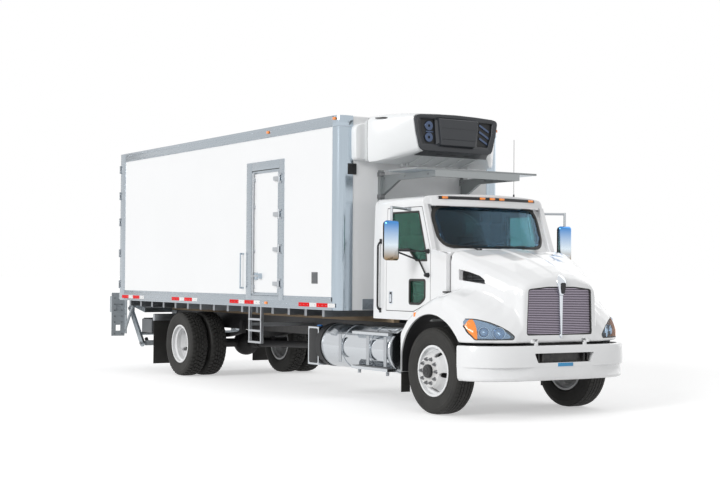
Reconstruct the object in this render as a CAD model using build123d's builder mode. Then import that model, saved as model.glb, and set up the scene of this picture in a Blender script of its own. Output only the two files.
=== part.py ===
from build123d import *
import os

# Refrigerated delivery truck: conventional cab and tilting hood, insulated box, nose-mounted
# refrigeration unit and fold-away tail lift. Millimetres. +X is forward, +Y is left, +Z is up.
# The origin is on the ground, under the middle of the whole truck.

os.makedirs("parts", exist_ok=True)

# ---------------------------------------------------------------- driving dimensions
front_overhang = 1020.0      # front axle to the bumper's face
wheelbase = 6665.0
rear_overhang = 2615.0       # rear axle to the dock bumpers
overall_length = front_overhang + wheelbase + rear_overhang
front_axle_x = overall_length / 2 - front_overhang
rear_axle_x = front_axle_x - wheelbase

seat_gap = 0.3               # between two pieces that sit on each other on a curved face
moving_gap = 8.0             # between a moving piece and its neighbour

# Tyres and wheels (radii and distances along the axle from the tyre's middle plane)
tyre_radius = 503.0
tyre_half_width = 140.0
axle_z = tyre_radius
rim_radius = 298.5
rim_half_width = 117.5
bead_radius = 286.0
rim_well_radius = 258.0
rim_thickness = 12.0
disc_offset = 168.0          # tyre's middle plane to the disc's outer face
disc_thickness = 12.0
disc_flat_radius = 182.0
hub_bore_radius = 38.05
spindle_radius = 38.0
hub_radius = 88.0
front_track_half = 1004.5    # truck's centre to the front tyre's middle plane
rear_dual_half = 901.5       # truck's centre to the middle of a pair of rear tyres
hand_hole_count = 5
hand_hole_radius = 30.0
hand_hole_circle = 215.0
hand_hole_start = 62.0       # degrees from straight ahead, up to the first hole

# Steering
kingpin_y = 930.0
kingpin_radius = 22.0
kingpin_fit = 0.05
kingpin_boss_radius = 48.0
axle_beam_low_z = 385.0
axle_beam_top_z = 460.0
axle_beam_half_depth = 50.0
kingpin_boss_top_z = 546.0
pin_gap = 3.0

# Chassis
rail_outer_y = 432.0
rail_flange = 90.0
rail_thickness = 10.0
rail_top_z = 990.0
rail_depth = 240.0
rail_front_reach = 830.0     # front axle to the rails' front ends
rail_low_z = rail_top_z - rail_depth
crossmember_pitch = 1000.0
crossmember_width = 70.0
crossmember_low_z = 800.0
crossmember_margin = 20.0

# Box body
box_half_width = 1295.0
box_low_z = 1155.0
box_top_z = 3635.0
box_rear_reach = 2165.0      # rear axle to the box's rear face
box_front_set = 1810.0       # front axle back to the box's front face
box_wall = 90.0
box_front_wall_thickness = 110.0
box_corner_radius = 120.0
box_floor_top_z = 1300.0
box_roof_thickness = 90.0
bearer_low_z = 1060.0
bearer_width = 60.0
bearer_pitch = 450.0
rear_frame_depth = 200.0
rear_post_width = 100.0
rear_header_z = 3500.0
rear_leaf_thickness = 80.0
rear_hinge_back = 25.0       # rear doors' hinge axis behind the box's rear face
rear_hinge_out = 10.0        # rear doors' hinge axis outside the box's side face
rear_lug_width = 40.0        # how far the hinge lugs reach in over the corner posts
rear_leaf_centre_gap = 16.0

box_rear_x = rear_axle_x - box_rear_reach
box_front_x = front_axle_x - box_front_set
box_inner_y = box_half_width - box_wall
rear_hinge_y = box_half_width + rear_hinge_out
box_roof_low_z = box_top_z - box_roof_thickness

# Side door in the box's right wall
side_door_rear_set = 4085.0   # front axle back to the leaf's rear edge
side_door_width = 765.0
side_door_low_z = 1318.0
side_door_top_z = 3052.0
side_door_hinge_ahead = 30.0
side_door_hinge_out = 25.0
side_leaf_thickness = 80.0

# Cab
cab_back_set = 1505.0        # front axle back to the cab's rear face
cab_half_width = 950.0
cab_roof_rail_half = 932.0
cab_wall = 60.0
cab_low_z = 1065.0
cab_floor_thickness = 50.0
cab_belt_z = 1900.0
cab_roof_rail_z = 2470.0
cab_firewall_set = 300.0     # front axle back to the fire wall's rear face
cab_firewall_thickness = 50.0
cab_nose_set = -20.0         # front axle back to the cowl's front edge
pin_fit = 0.05               # radial clearance of a hinge pin in its bore
cab_back_x = front_axle_x - cab_back_set
cab_nose_x = front_axle_x - cab_nose_set
cab_floor_top_z = cab_low_z + cab_floor_thickness
cab_firewall_x = front_axle_x - cab_firewall_set
cowl_low_z = 1190.0
cowl_top_z = 1865.0

# Windshield: a vertical-axis arc in plan, carried up and back along a slope
screen_centre_set = 175.0    # front axle back to the frame's face at the belt
screen_radius = 2900.0
screen_slope = 0.40          # distance back for each unit up
screen_frame_thickness = 55.0
screen_glass_thickness = 8.0
screen_glass_inset = 10.0
screen_low_z = 1880.0
screen_glass_low_z = 1935.0
screen_glass_top_z = 2425.0
screen_glass_low_half = 705.0
screen_glass_top_half = 770.0
screen_corner_radius = 90.0

# Cab doors
door_rear_set = 1220.0       # front axle back to the door's rear edge
door_front_set = 300.0
door_top_front_set = 500.0
door_low_z = 1175.0
door_top_z = 2430.0
door_diagonal_set = 640.0    # where the door's lower edge starts to rise
door_front_low_z = 1300.0
glass_thickness = 6.0
glass_gap = 0.3

# Hood
hood_pivot_ahead = 930.0     # front axle to the hood's tilt axis
hood_pivot_z = 860.0
hood_pivot_y = 365.0
hood_pin_radius = 10.0
hood_skin = 25.0
arch_radius = 595.0
arch_centre_z = 567.0
fender_outer_y = 1170.0

# Bumper
bumper_top_z = 826.0
bumper_low_z = 430.0
bumper_thickness = 70.0

# Tail lift
lift_plate_set = 375.0       # box's rear face back to the end plates
lift_pivot_ahead = 230.0     # box's rear face forward to the arms' lower pivot
lift_pivot_z = 420.0
lift_arm_set = 320.0         # box's side face in to the arms' middle
lift_arm_y = box_half_width - lift_arm_set
lift_arm_thickness = 40.0
lift_tip_back = 270.0        # box's rear face back to the arms' upper pins
lift_tip_z = 1000.0
lift_pivot_pin = 25.0
lift_tip_pin = 20.0
lift_fold_pin = 15.0
lift_side_gap = 6.0          # between arms, carrier and platform, along their pins
lift_cross_set = 560.0       # arms' upper pins back along the arms to their cross tube
lift_cross_radius = 28.0


def block(x_range, y_range, z_range, mode=Mode.ADD):
    """Add a box given by its low and high coordinates to the part being built."""
    centre = [(pair[0] + pair[1]) / 2 for pair in (x_range, y_range, z_range)]
    with Locations(tuple(centre)):
        Box(x_range[1] - x_range[0], y_range[1] - y_range[0], z_range[1] - z_range[0], mode=mode)


def side_plate(outline, y_low, y_high, mode=Mode.ADD):
    """Extrude an (x, z) outline from y_low to y_high."""
    with BuildSketch(Plane.XZ.offset(-y_high), mode=Mode.PRIVATE) as sketch:
        with BuildLine():
            Polyline(*outline, close=True)
        make_face()
    extrude(sketch.sketch, amount=y_high - y_low, mode=mode)


def cross_plate(outline, x_low, x_high, mode=Mode.ADD):
    """Extrude a (y, z) outline from x_low to x_high."""
    with BuildSketch(Plane.YZ.offset(x_low), mode=Mode.PRIVATE) as sketch:
        with BuildLine():
            Polyline(*outline, close=True)
        make_face()
    extrude(sketch.sketch, amount=x_high - x_low, mode=mode)


def rod(start, end, radius, mode=Mode.ADD):
    """Add a round bar between two points."""
    start = Vector(*start)
    end = Vector(*end)
    with BuildSketch(Plane(origin=start, z_dir=end - start), mode=Mode.PRIVATE) as sketch:
        Circle(radius)
    extrude(sketch.sketch, amount=(end - start).length, mode=mode)


def save(part, label):
    """Label a finished part and write it to its file."""
    part.label = label
    export_step(part, f"parts/{label}.step")


# ================================================================ chassis
# ---------------------------------------------------------------- frame rails
rail_rear_x = box_rear_x + 260
rail_front_x = front_axle_x + rail_front_reach
with BuildPart() as frame_rails:
    for side in (1, -1):
        web = side * (rail_outer_y - rail_thickness)
        outer = side * rail_outer_y
        lip = side * (rail_outer_y - rail_flange)
        channel = [(outer, rail_top_z), (lip, rail_top_z), (lip, rail_top_z - rail_thickness),
                   (web, rail_top_z - rail_thickness), (web, rail_low_z + rail_thickness),
                   (lip, rail_low_z + rail_thickness), (lip, rail_low_z), (outer, rail_low_z)]
        cross_plate(channel, rail_rear_x, rail_front_x)
save(frame_rails.part, "frame_rails")

# ---------------------------------------------------------------- crossmembers
gearbox_rear_x = front_axle_x - 1250
gearbox_z = 690.0
crossmember_y = rail_outer_y - rail_thickness
crossmember_top_z = rail_top_z - crossmember_margin
rear_crossmembers = int((rear_axle_x - rail_rear_x) / crossmember_pitch)
front_crossmembers = int((gearbox_rear_x - rear_axle_x) / crossmember_pitch)
crossmember_places = [rear_axle_x + step * crossmember_pitch
                      for step in range(-rear_crossmembers, front_crossmembers + 1)]
crossmember_places.append(rail_front_x - crossmember_width / 2)
crossmember_places.append(rail_rear_x + crossmember_width / 2)
with BuildPart() as frame_crossmembers:
    for x in crossmember_places:
        block((x - crossmember_width / 2, x + crossmember_width / 2),
              (-crossmember_y, crossmember_y), (crossmember_low_z, crossmember_top_z))
save(frame_crossmembers.part, "frame_crossmembers")

# ---------------------------------------------------------------- front axle beam
beam_bend_y = 620.0
with BuildPart() as front_axle:
    for side in (1, -1):
        beam = [(0, axle_beam_low_z), (side * beam_bend_y, axle_beam_low_z),
                (side * (kingpin_y - 90), axle_beam_top_z), (side * kingpin_y, axle_beam_top_z),
                (side * kingpin_y, kingpin_boss_top_z), (side * (kingpin_y - 110), kingpin_boss_top_z),
                (side * (beam_bend_y - 20), axle_beam_top_z), (0, axle_beam_top_z)]
        cross_plate(beam, front_axle_x - axle_beam_half_depth, front_axle_x + axle_beam_half_depth)
        foot = (front_axle_x, side * kingpin_y, axle_beam_top_z)
        head = (front_axle_x, side * kingpin_y, kingpin_boss_top_z)
        rod(foot, head, axle_beam_half_depth)
    for side in (1, -1):
        foot = (front_axle_x, side * kingpin_y, axle_beam_top_z - 10)
        head = (front_axle_x, side * kingpin_y, kingpin_boss_top_z + 10)
        rod(foot, head, kingpin_radius + kingpin_fit, mode=Mode.SUBTRACT)
save(front_axle.part, "front_axle")

# ---------------------------------------------------------------- rear axle housing
axle_tube_radius = 70.0
diff_radius = 205.0
diff_nose_reach = 420.0
diff_nose_radius = 75.0
rear_spindle_radius = 45.0
rear_spindle_end_y = rear_dual_half + 40
rear_tube_end_y = rear_dual_half - 130
rear_spring_y = 470.0
rear_spring_half = 35.0
rear_pad_top_z = axle_z + axle_tube_radius + 25
with BuildPart() as rear_axle:
    rod((rear_axle_x, -rear_tube_end_y, axle_z), (rear_axle_x, rear_tube_end_y, axle_z), axle_tube_radius)
    rod((rear_axle_x, -rear_spindle_end_y, axle_z), (rear_axle_x, rear_spindle_end_y, axle_z),
        rear_spindle_radius)
    with Locations((rear_axle_x, 0, axle_z)):
        Sphere(diff_radius)
    rod((rear_axle_x, 0, axle_z), (rear_axle_x + diff_nose_reach, 0, axle_z), diff_nose_radius)
    for side in (1, -1):
        centre_y = side * rear_spring_y
        block((rear_axle_x - 60, rear_axle_x + 60),
              (centre_y - rear_spring_half, centre_y + rear_spring_half), (axle_z, rear_pad_top_z))
save(rear_axle.part, "rear_axle")

# ---------------------------------------------------------------- leaf springs and their hangers
spring_half_length = 750.0
leaf_end_thickness = 24.0
hanger_half_length = 45.0
# axle x, distance from centre, half width, seat z, centre thickness, end z, hanger's y reach, hanger top
spring_table = [
    (front_axle_x, 390.0, 38.0, axle_beam_top_z, 60.0, 690.0, (352.0, 428.0), rail_low_z),
    (rear_axle_x, rear_spring_y, rear_spring_half, rear_pad_top_z, 75.0, 700.0,
     (rail_outer_y, rear_spring_y + rear_spring_half), rail_low_z + 130),
]
with BuildPart() as leaf_springs:
    for axle_x, centre_y, half, seat_z, thick, end_z, hanger_y, hanger_top in spring_table:
        for side in (1, -1):
            with BuildSketch(Plane.XZ.offset(-(side * centre_y + half))) as leaf:
                with BuildLine():
                    left_low = (axle_x - spring_half_length, end_z)
                    right_low = (axle_x + spring_half_length, end_z)
                    left_top = (axle_x - spring_half_length, end_z + leaf_end_thickness)
                    right_top = (axle_x + spring_half_length, end_z + leaf_end_thickness)
                    ThreePointArc(left_low, (axle_x, seat_z), right_low)
                    Line(right_low, right_top)
                    ThreePointArc(right_top, (axle_x, seat_z + thick), left_top)
                    Line(left_top, left_low)
                make_face()
            extrude(amount=2 * half)
            y_pair = sorted((side * hanger_y[0], side * hanger_y[1]))
            for end in (-1, 1):
                end_x = axle_x + end * spring_half_length
                block((end_x - hanger_half_length, end_x + hanger_half_length), y_pair,
                      (end_z - 10, hanger_top))
save(leaf_springs.part, "leaf_springs")

# ---------------------------------------------------------------- engine and radiator
engine_rear_x = front_axle_x - 230
engine_front_x = front_axle_x + 600
engine_half_width = 320.0
radiator_x = front_axle_x + 680
with BuildPart() as engine_and_radiator:
    block((engine_rear_x, engine_front_x), (-engine_half_width, engine_half_width), (620, 1400))
    block((radiator_x, radiator_x + 60), (-400, 400), (rail_top_z, 1430))
save(engine_and_radiator.part, "engine_and_radiator")

# ---------------------------------------------------------------- gearbox and propeller shaft
shaft_radius = 50.0
yoke_radius = 70.0
yoke_length = 60.0
nose_end_x = rear_axle_x + diff_nose_reach
with BuildPart() as driveline:
    block((gearbox_rear_x, engine_rear_x), (-230, 230), (gearbox_z - 150, gearbox_z + 250))
    rod((gearbox_rear_x, 0, gearbox_z), (gearbox_rear_x - yoke_length, 0, gearbox_z), yoke_radius)
    rod((gearbox_rear_x - yoke_length / 2, 0, gearbox_z), (nose_end_x + yoke_length / 2, 0, axle_z),
        shaft_radius)
    rod((nose_end_x, 0, axle_z), (nose_end_x + yoke_length, 0, axle_z), yoke_radius)
save(driveline.part, "driveline")

# ---------------------------------------------------------------- front bumper
# Plan outline, half of it: forward of the front axle and out from the centre.
bumper_face = [(front_overhang, 0.0), (1008.0, 480.0), (962.0, 800.0)]
bumper_corner_mid = (875.0, 1010.0)
bumper_side_start = (680.0, 1175.0)
bumper_side_end = (540.0, 1190.0)
slot_top_half = 450.0
slot_low_half = 405.0
bumper_chin = 60.0           # cut off the bumper's lower outer corners
slot_low_z = 630.0
slot_top_z = 740.0
bumper_bracket_y = rail_outer_y - 60
hood_pivot_x = front_axle_x + hood_pivot_ahead


def bumper_plan(inset):
    """The bumper's plan as an open region, moved inward by inset, as sketch lines."""
    front = [(front_axle_x + x - inset, y) for x, y in bumper_face]
    mid = (front_axle_x + bumper_corner_mid[0] - inset * 0.7, bumper_corner_mid[1] - inset * 0.7)
    start = (front_axle_x + bumper_side_start[0], bumper_side_start[1] - inset)
    end = (front_axle_x + bumper_side_end[0], bumper_side_end[1] - inset)
    Line(front[0], front[1])
    Line(front[1], front[2])
    ThreePointArc(front[2], mid, start)
    Line(start, end)
    Line(end, (end[0], 0))
    Line((end[0], 0), front[0])


with BuildPart() as front_bumper:
    with BuildSketch(Plane.XY.offset(bumper_low_z), mode=Mode.PRIVATE) as outer_plan:
        with BuildLine():
            bumper_plan(0.0)
        make_face()
    with BuildSketch(Plane.XY.offset(bumper_low_z), mode=Mode.PRIVATE) as inner_plan:
        with BuildLine():
            bumper_plan(bumper_thickness)
        make_face()
    extrude(outer_plan.sketch, amount=bumper_top_z - bumper_low_z)
    extrude(inner_plan.sketch, amount=bumper_top_z - bumper_low_z, mode=Mode.SUBTRACT)
    mirror(about=Plane.XZ)
    slot = [(-slot_low_half, slot_low_z), (slot_low_half, slot_low_z),
            (slot_top_half, slot_top_z), (-slot_top_half, slot_top_z)]
    cross_plate(slot, front_axle_x + bumper_side_start[0], front_axle_x + front_overhang, mode=Mode.SUBTRACT)
    for side in (1, -1):
        corner_y = side * (bumper_side_end[1] + 1)
        corner = [(corner_y, bumper_low_z - 1), (corner_y, bumper_low_z + bumper_chin),
                  (corner_y - side * bumper_chin, bumper_low_z - 1)]
        cross_plate(corner, front_axle_x + bumper_side_end[0] - 1, front_axle_x + front_overhang,
                    mode=Mode.SUBTRACT)
    for side in (1, -1):
        y_pair = sorted((side * (bumper_bracket_y - 40), side * (bumper_bracket_y + 40)))
        block((rail_front_x, front_axle_x + 960), y_pair, (rail_low_z + 5, bumper_top_z - 10))
        lug_y = sorted((side * (hood_pivot_y - 25), side * (hood_pivot_y + 25)))
        block((hood_pivot_x - 12, hood_pivot_x + 12), lug_y, (bumper_top_z - 20, hood_pivot_z + 12))
        rod((hood_pivot_x, lug_y[0] - 5, hood_pivot_z), (hood_pivot_x, lug_y[1] + 5, hood_pivot_z),
            hood_pin_radius + pin_fit, mode=Mode.SUBTRACT)
save(front_bumper.part, "front_bumper")

# ---------------------------------------------------------------- fuel tank, its steps and the fluid tank
tank_radius = 280.0
tank_y = -930.0
tank_z = 690.0
tank_front_x = front_axle_x - 785
tank_rear_x = front_axle_x - 2330
strap_sets = (830.0, 1210.0, 1850.0)
strap_width = 50.0
strap_proud = 8.0
step_length = 800.0
fluid_rear_x = front_axle_x - 2770
fluid_front_x = front_axle_x - 2500
with BuildPart() as side_tanks:
    rod((tank_rear_x, tank_y, tank_z), (tank_front_x, tank_y, tank_z), tank_radius)
    fillet(side_tanks.edges().filter_by(GeomType.CIRCLE), radius=30)
    for strap_set in strap_sets:
        x = front_axle_x - strap_set
        rod((x - strap_width / 2, tank_y, tank_z), (x + strap_width / 2, tank_y, tank_z),
            tank_radius + strap_proud)
        block((x - strap_width / 2, x + strap_width / 2), (tank_y, -rail_outer_y), (rail_low_z + 20, 860))
        block((x - strap_width / 2, x + strap_width / 2), (tank_y, -rail_outer_y - 180), (420, 500))
    # step: low z, high z, outer y, inner y
    for low_z, high_z, outer_y, inner_y in ((440, 475, -1225, -1080), (872, 905, -1215, -1040)):
        block((tank_front_x - step_length, tank_front_x), (outer_y, inner_y), (low_z, high_z))
    block((fluid_rear_x, fluid_front_x), (-1150, -760), (420, 920))
    block((fluid_rear_x + 60, fluid_front_x - 60), (-780, -rail_outer_y), (rail_low_z + 30, 900))
save(side_tanks.part, "side_tanks")

# ---------------------------------------------------------------- battery box with its steps (left)
battery_rear_x = front_axle_x - 1560
battery_front_x = tank_front_x
with BuildPart() as battery_box:
    block((battery_rear_x, battery_front_x), (640, 1150), (450, 905))
    block((battery_rear_x, battery_front_x), (1120, 1215), (440, 475))
    block((battery_rear_x, battery_front_x), (1120, 1215), (872, 905))
    for x in (battery_rear_x + 100, battery_front_x - 100):
        block((x - 40, x + 40), (rail_outer_y, 660), (rail_low_z + 20, 880))
save(battery_box.part, "battery_box")

# ---------------------------------------------------------------- rear mud flaps on their brackets
flap_x = rear_axle_x - 905
flap_thickness = 12.0
flap_outer_y = box_half_width - 65.0
flap_width = 620.0
with BuildPart() as rear_mud_flaps:
    for side in (1, -1):
        bracket_y = sorted((side * rail_outer_y, side * flap_outer_y))
        rubber_y = sorted((side * (flap_outer_y - flap_width), side * flap_outer_y))
        block((flap_x - 25, flap_x + 25), bracket_y, (865, 945))
        block((flap_x - flap_thickness / 2, flap_x + flap_thickness / 2), rubber_y, (138, 870))
save(rear_mud_flaps.part, "rear_mud_flaps")

# ---------------------------------------------------------------- long sills between frame and body
with BuildPart() as body_sills:
    for side in (1, -1):
        sill_y = sorted((side * (rail_outer_y - rail_flange), side * rail_outer_y))
        block((rail_rear_x, box_front_x), sill_y, (rail_top_z, bearer_low_z))
save(body_sills.part, "body_sills")

# ---------------------------------------------------------------- side ladder under the side door
ladder_rear_x = front_axle_x - 4200
ladder_front_x = front_axle_x - 3830
ladder_low_z = 640.0
ladder_rail = 30.0
ladder_depth = 40.0
ladder_outer_y = box_half_width - 10.0
ladder_brace_z = 880.0
ladder_rungs = 3
ladder_rung_pitch = 160.0
ladder_rung_height = 28.0
ladder_rung_proud = 5.0
with BuildPart() as side_ladder:
    for x in (ladder_rear_x, ladder_front_x - ladder_rail):
        block((x, x + ladder_rail), (-ladder_outer_y, ladder_depth - ladder_outer_y),
              (ladder_low_z, box_low_z))
        block((x, x + ladder_rail), (ladder_depth - ladder_outer_y, -rail_outer_y),
              (ladder_brace_z, ladder_brace_z + ladder_depth))
    for step in range(ladder_rungs):
        z = ladder_low_z + step * ladder_rung_pitch
        rung_y = (-ladder_outer_y - ladder_rung_proud, ladder_depth - ladder_outer_y)
        block((ladder_rear_x, ladder_front_x), rung_y, (z, z + ladder_rung_height))
save(side_ladder.part, "side_ladder")

# ================================================================ running gear
# Radial profiles are (radius, distance outward from the tyre's middle plane).
rim_profile = [
    (rim_radius, rim_half_width), (rim_radius, rim_half_width - 12), (bead_radius, rim_half_width - 18),
    (bead_radius - 2, 62), (rim_well_radius, 48), (rim_well_radius, -48), (bead_radius - 2, -62),
    (bead_radius, 18 - rim_half_width), (rim_radius, 12 - rim_half_width), (rim_radius, -rim_half_width),
    (bead_radius - rim_thickness, -rim_half_width), (bead_radius - rim_thickness - 2, -68),
    (rim_well_radius - rim_thickness, -54), (rim_well_radius - rim_thickness, 54),
    (bead_radius - rim_thickness - 2, 68), (bead_radius - rim_thickness, rim_half_width),
]
disc_rise = disc_offset - 33
disc_profile = [
    (rim_well_radius - 6, 22), (240, 64), (207, disc_rise), (disc_flat_radius, disc_offset),
    (hub_radius - 4, disc_offset), (hub_radius - 4, disc_offset - disc_thickness),
    (disc_flat_radius - 6, disc_offset - disc_thickness), (198, disc_rise - 8), (229, 58),
    (rim_well_radius - 16, 20),
]
tyre_side = [
    (bead_radius + seat_gap, 98), (rim_radius + seat_gap, 104), (rim_radius + 6, 119), (352, 134),
    (415, tyre_half_width), (468, 136), (496, 116), (tyre_radius, 88),
]
tyre_profile = tyre_side + [(radius, -out) for radius, out in reversed(tyre_side)]


def wheel_plane(x, y, side):
    """Plane whose local x is up the wheel's radius and whose local y is outward on that side."""
    return Plane(origin=(x, y, axle_z), x_dir=(0, 0, 1), z_dir=(-side, 0, 0))


def turned(profile, x, y, side, shift=0.0, flip=1.0, mode=Mode.ADD):
    """Revolve a (radius, out) profile about the axle; flip = -1 turns it inside out."""
    with BuildSketch(wheel_plane(x, y, side), mode=Mode.PRIVATE) as section:
        with BuildLine():
            Polyline(*[(radius, shift + flip * out) for radius, out in profile], close=True)
        make_face()
    revolve(section.sketch, axis=Axis((x, y, axle_z), (0, 1, 0)), mode=mode)


def hand_holes(x, y, side, depth_from, depth_to):
    """Cut the ring of hand holes through a disc."""
    low = y + side * depth_from
    disc_plane = Plane(origin=(x, low, axle_z), x_dir=(-side, 0, 0), z_dir=(0, side, 0))
    start = hand_hole_start if side < 0 else 180 - hand_hole_start
    with BuildSketch(disc_plane, mode=Mode.PRIVATE) as ring:
        with PolarLocations(hand_hole_circle, hand_hole_count, start_angle=start):
            Circle(hand_hole_radius)
    extrude(ring.sketch, amount=depth_to - depth_from, mode=Mode.SUBTRACT)


# ---------------------------------------------------------------- front wheels, tyres and knuckles
knuckle_face = kingpin_y + kingpin_boss_radius + 26     # inner face of the knuckle's outer block
knuckle_block = 32.0
yoke_top_z = 600.0
yoke_low_z = 406.0
yoke_round = 55.0
front_hub_inner = knuckle_face + knuckle_block + 12 - front_track_half
front_hub_profile = [
    (0, 214), (66, 214), (76, 204), (76, disc_offset + 6), (hub_radius, disc_offset + 6),
    (hub_radius, disc_offset - disc_thickness), (165, disc_offset - disc_thickness),
    (165, disc_offset - disc_thickness - 18), (hub_radius + 8, disc_offset - disc_thickness - 18),
    (hub_radius - 6, front_hub_inner), (hub_bore_radius, front_hub_inner), (hub_bore_radius, 128), (0, 128),
]
spindle_end_y = front_track_half + 122
for side, name in ((1, "left"), (-1, "right")):
    wheel_y = side * front_track_half
    with BuildPart() as front_wheel:
        turned(rim_profile, front_axle_x, wheel_y, side)
        turned(disc_profile, front_axle_x, wheel_y, side)
        hand_holes(front_axle_x, wheel_y, side, 30, disc_offset + 5)
        turned(front_hub_profile, front_axle_x, wheel_y, side)
    save(front_wheel.part, f"front_wheel_{name}")

    with BuildPart() as front_tyre:
        turned(tyre_profile, front_axle_x, wheel_y, side)
    save(front_tyre.part, f"front_tyre_{name}")

    with BuildPart() as knuckle:
        pin_y = side * kingpin_y
        block_y = sorted((side * knuckle_face, side * (knuckle_face + knuckle_block)))
        yoke_y = sorted((pin_y, side * (knuckle_face + 5)))
        block((front_axle_x - 58, front_axle_x + 58), block_y, (yoke_low_z, yoke_top_z))
        for low_z, high_z in ((yoke_low_z, axle_beam_top_z - pin_gap),
                              (kingpin_boss_top_z + pin_gap, yoke_top_z)):
            block((front_axle_x - 50, front_axle_x + 50), yoke_y, (low_z, high_z))
            rod((front_axle_x, pin_y, low_z), (front_axle_x, pin_y, high_z), yoke_round)
        rod((front_axle_x, pin_y, yoke_low_z), (front_axle_x, pin_y, yoke_top_z), kingpin_radius)
        rod((front_axle_x, side * knuckle_face, axle_z), (front_axle_x, side * spindle_end_y, axle_z),
            spindle_radius)
    save(knuckle.part, f"knuckle_{name}")

# ---------------------------------------------------------------- rear dual wheels and tyres
dual_half = disc_offset      # the two discs meet on the pair's middle plane
rear_hub_bore = rear_spindle_radius + 0.05
rear_hub_profile = [
    (0, 78), (72, 78), (82, 66), (hub_radius, 40), (hub_radius, 12), (165, 12), (165, -12), (hub_radius, -12),
    (hub_radius, -105), (rear_hub_bore, -105), (rear_hub_bore, 46), (0, 46),
]
for side, name in ((1, "left"), (-1, "right")):
    pair_y = side * rear_dual_half
    with BuildPart() as rear_wheels:
        for place in (1, -1):
            turned(rim_profile, rear_axle_x, pair_y, side, shift=place * dual_half)
            turned(disc_profile, rear_axle_x, pair_y, side, shift=place * dual_half, flip=-place)
        hand_holes(rear_axle_x, pair_y, side, -140, 140)
        turned(rear_hub_profile, rear_axle_x, pair_y, side)
    save(rear_wheels.part, f"rear_wheels_{name}")

    with BuildPart() as rear_tyres:
        for place in (1, -1):
            turned(tyre_profile, rear_axle_x, pair_y, side, shift=place * dual_half)
    save(rear_tyres.part, f"rear_tyres_{name}")

# ================================================================ cab
# ---------------------------------------------------------------- shared outlines
cab_lean = (cab_half_width - cab_roof_rail_half) / (cab_roof_rail_z - cab_belt_z)
door_rear_x = front_axle_x - door_rear_set
door_front_x = front_axle_x - door_front_set
door_top_front_x = front_axle_x - door_top_front_set


def half_width_at(z, inset=0.0):
    """Cab's outer half width at a height, less an inset: upright to the belt, leaning in above."""
    return cab_half_width - inset - max(0.0, z - cab_belt_z) * cab_lean


def side_band(side, inset, thickness, z_low, z_high):
    """(y, z) outline of a wall that follows the cab's side."""
    heights = (z_low, cab_belt_z, z_high)
    outer = [(side * half_width_at(z, inset), z) for z in heights]
    inner = [(side * half_width_at(z, inset + thickness), z) for z in reversed(heights)]
    return outer + inner


def door_outline(gap):
    """(x, z) outline of a cab door, grown by a gap."""
    return [(door_rear_x - gap, door_low_z - gap), (front_axle_x - door_diagonal_set, door_low_z - gap),
            (door_front_x + gap, door_front_low_z - gap), (door_front_x + gap, cab_belt_z),
            (door_top_front_x + gap, door_top_z + gap), (door_rear_x - gap, door_top_z + gap)]


def window_outline(gap):
    """(x, z) outline of a door's window, shrunk by a gap."""
    rear_x = front_axle_x - 1140 + gap
    return [(rear_x, 1917 + gap), (front_axle_x - 740, 1917 + gap), (front_axle_x - 590, 1782 + gap),
            (front_axle_x - 365 - gap, 1782 + gap), (front_axle_x - 385 - gap, cab_belt_z),
            (front_axle_x - 555 - gap, 2380 - gap), (rear_x, 2380 - gap)]


def peep_outline(gap):
    """(x, z) outline of the small low window, shrunk by a gap."""
    return [(front_axle_x - 722 + gap, 1262 + gap), (front_axle_x - 505 - gap, 1262 + gap),
            (front_axle_x - 400 - gap, 1330 + gap), (front_axle_x - 400 - gap, 1555 - gap),
            (front_axle_x - 722 + gap, 1555 - gap)]


# ---------------------------------------------------------------- cab floor
with BuildPart() as cab_floor:
    block((cab_back_x, cab_firewall_x + cab_firewall_thickness), (-cab_half_width, cab_half_width),
          (cab_low_z, cab_floor_top_z))
    for side in (1, -1):
        mount_y = sorted((side * (rail_outer_y - 80), side * (rail_outer_y - 10)))
        for x in (cab_back_x + 60, cab_firewall_x - 80):
            block((x, x + 80), mount_y, (rail_top_z, cab_low_z + 10))
save(cab_floor.part, "cab_floor")

# ---------------------------------------------------------------- cab sides
with BuildPart() as cab_sides:
    side_outline = [(cab_back_x, cab_floor_top_z), (cab_firewall_x, cab_floor_top_z),
                    (cab_nose_x, cowl_low_z), (cab_nose_x, cowl_top_z),
                    (front_axle_x - 265, cab_belt_z + 20),
                    (door_top_front_x + 35, cab_roof_rail_z), (cab_back_x, cab_roof_rail_z)]
    for side in (1, -1):
        cross_plate(side_band(side, 0.0, cab_wall, cab_floor_top_z, cab_roof_rail_z), cab_back_x, cab_nose_x)
    side_plate(side_outline, -cab_half_width, cab_half_width, mode=Mode.INTERSECT)
    side_plate(door_outline(moving_gap), -cab_half_width, cab_half_width, mode=Mode.SUBTRACT)
save(cab_sides.part, "cab_sides")

# ---------------------------------------------------------------- cab rear wall
with BuildPart() as cab_back_wall:
    inner_low = cab_half_width - cab_wall
    inner_top = cab_roof_rail_half - cab_wall
    wall_outline = [(-inner_low, cab_floor_top_z), (inner_low, cab_floor_top_z), (inner_low, cab_belt_z),
                    (inner_top, cab_roof_rail_z), (-inner_top, cab_roof_rail_z), (-inner_low, cab_belt_z)]
    cross_plate(wall_outline, cab_back_x, cab_back_x + cab_wall)
save(cab_back_wall.part, "cab_back_wall")

# ---------------------------------------------------------------- fire wall, cowl and windshield frame
screen_face_x = front_axle_x - screen_centre_set


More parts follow.
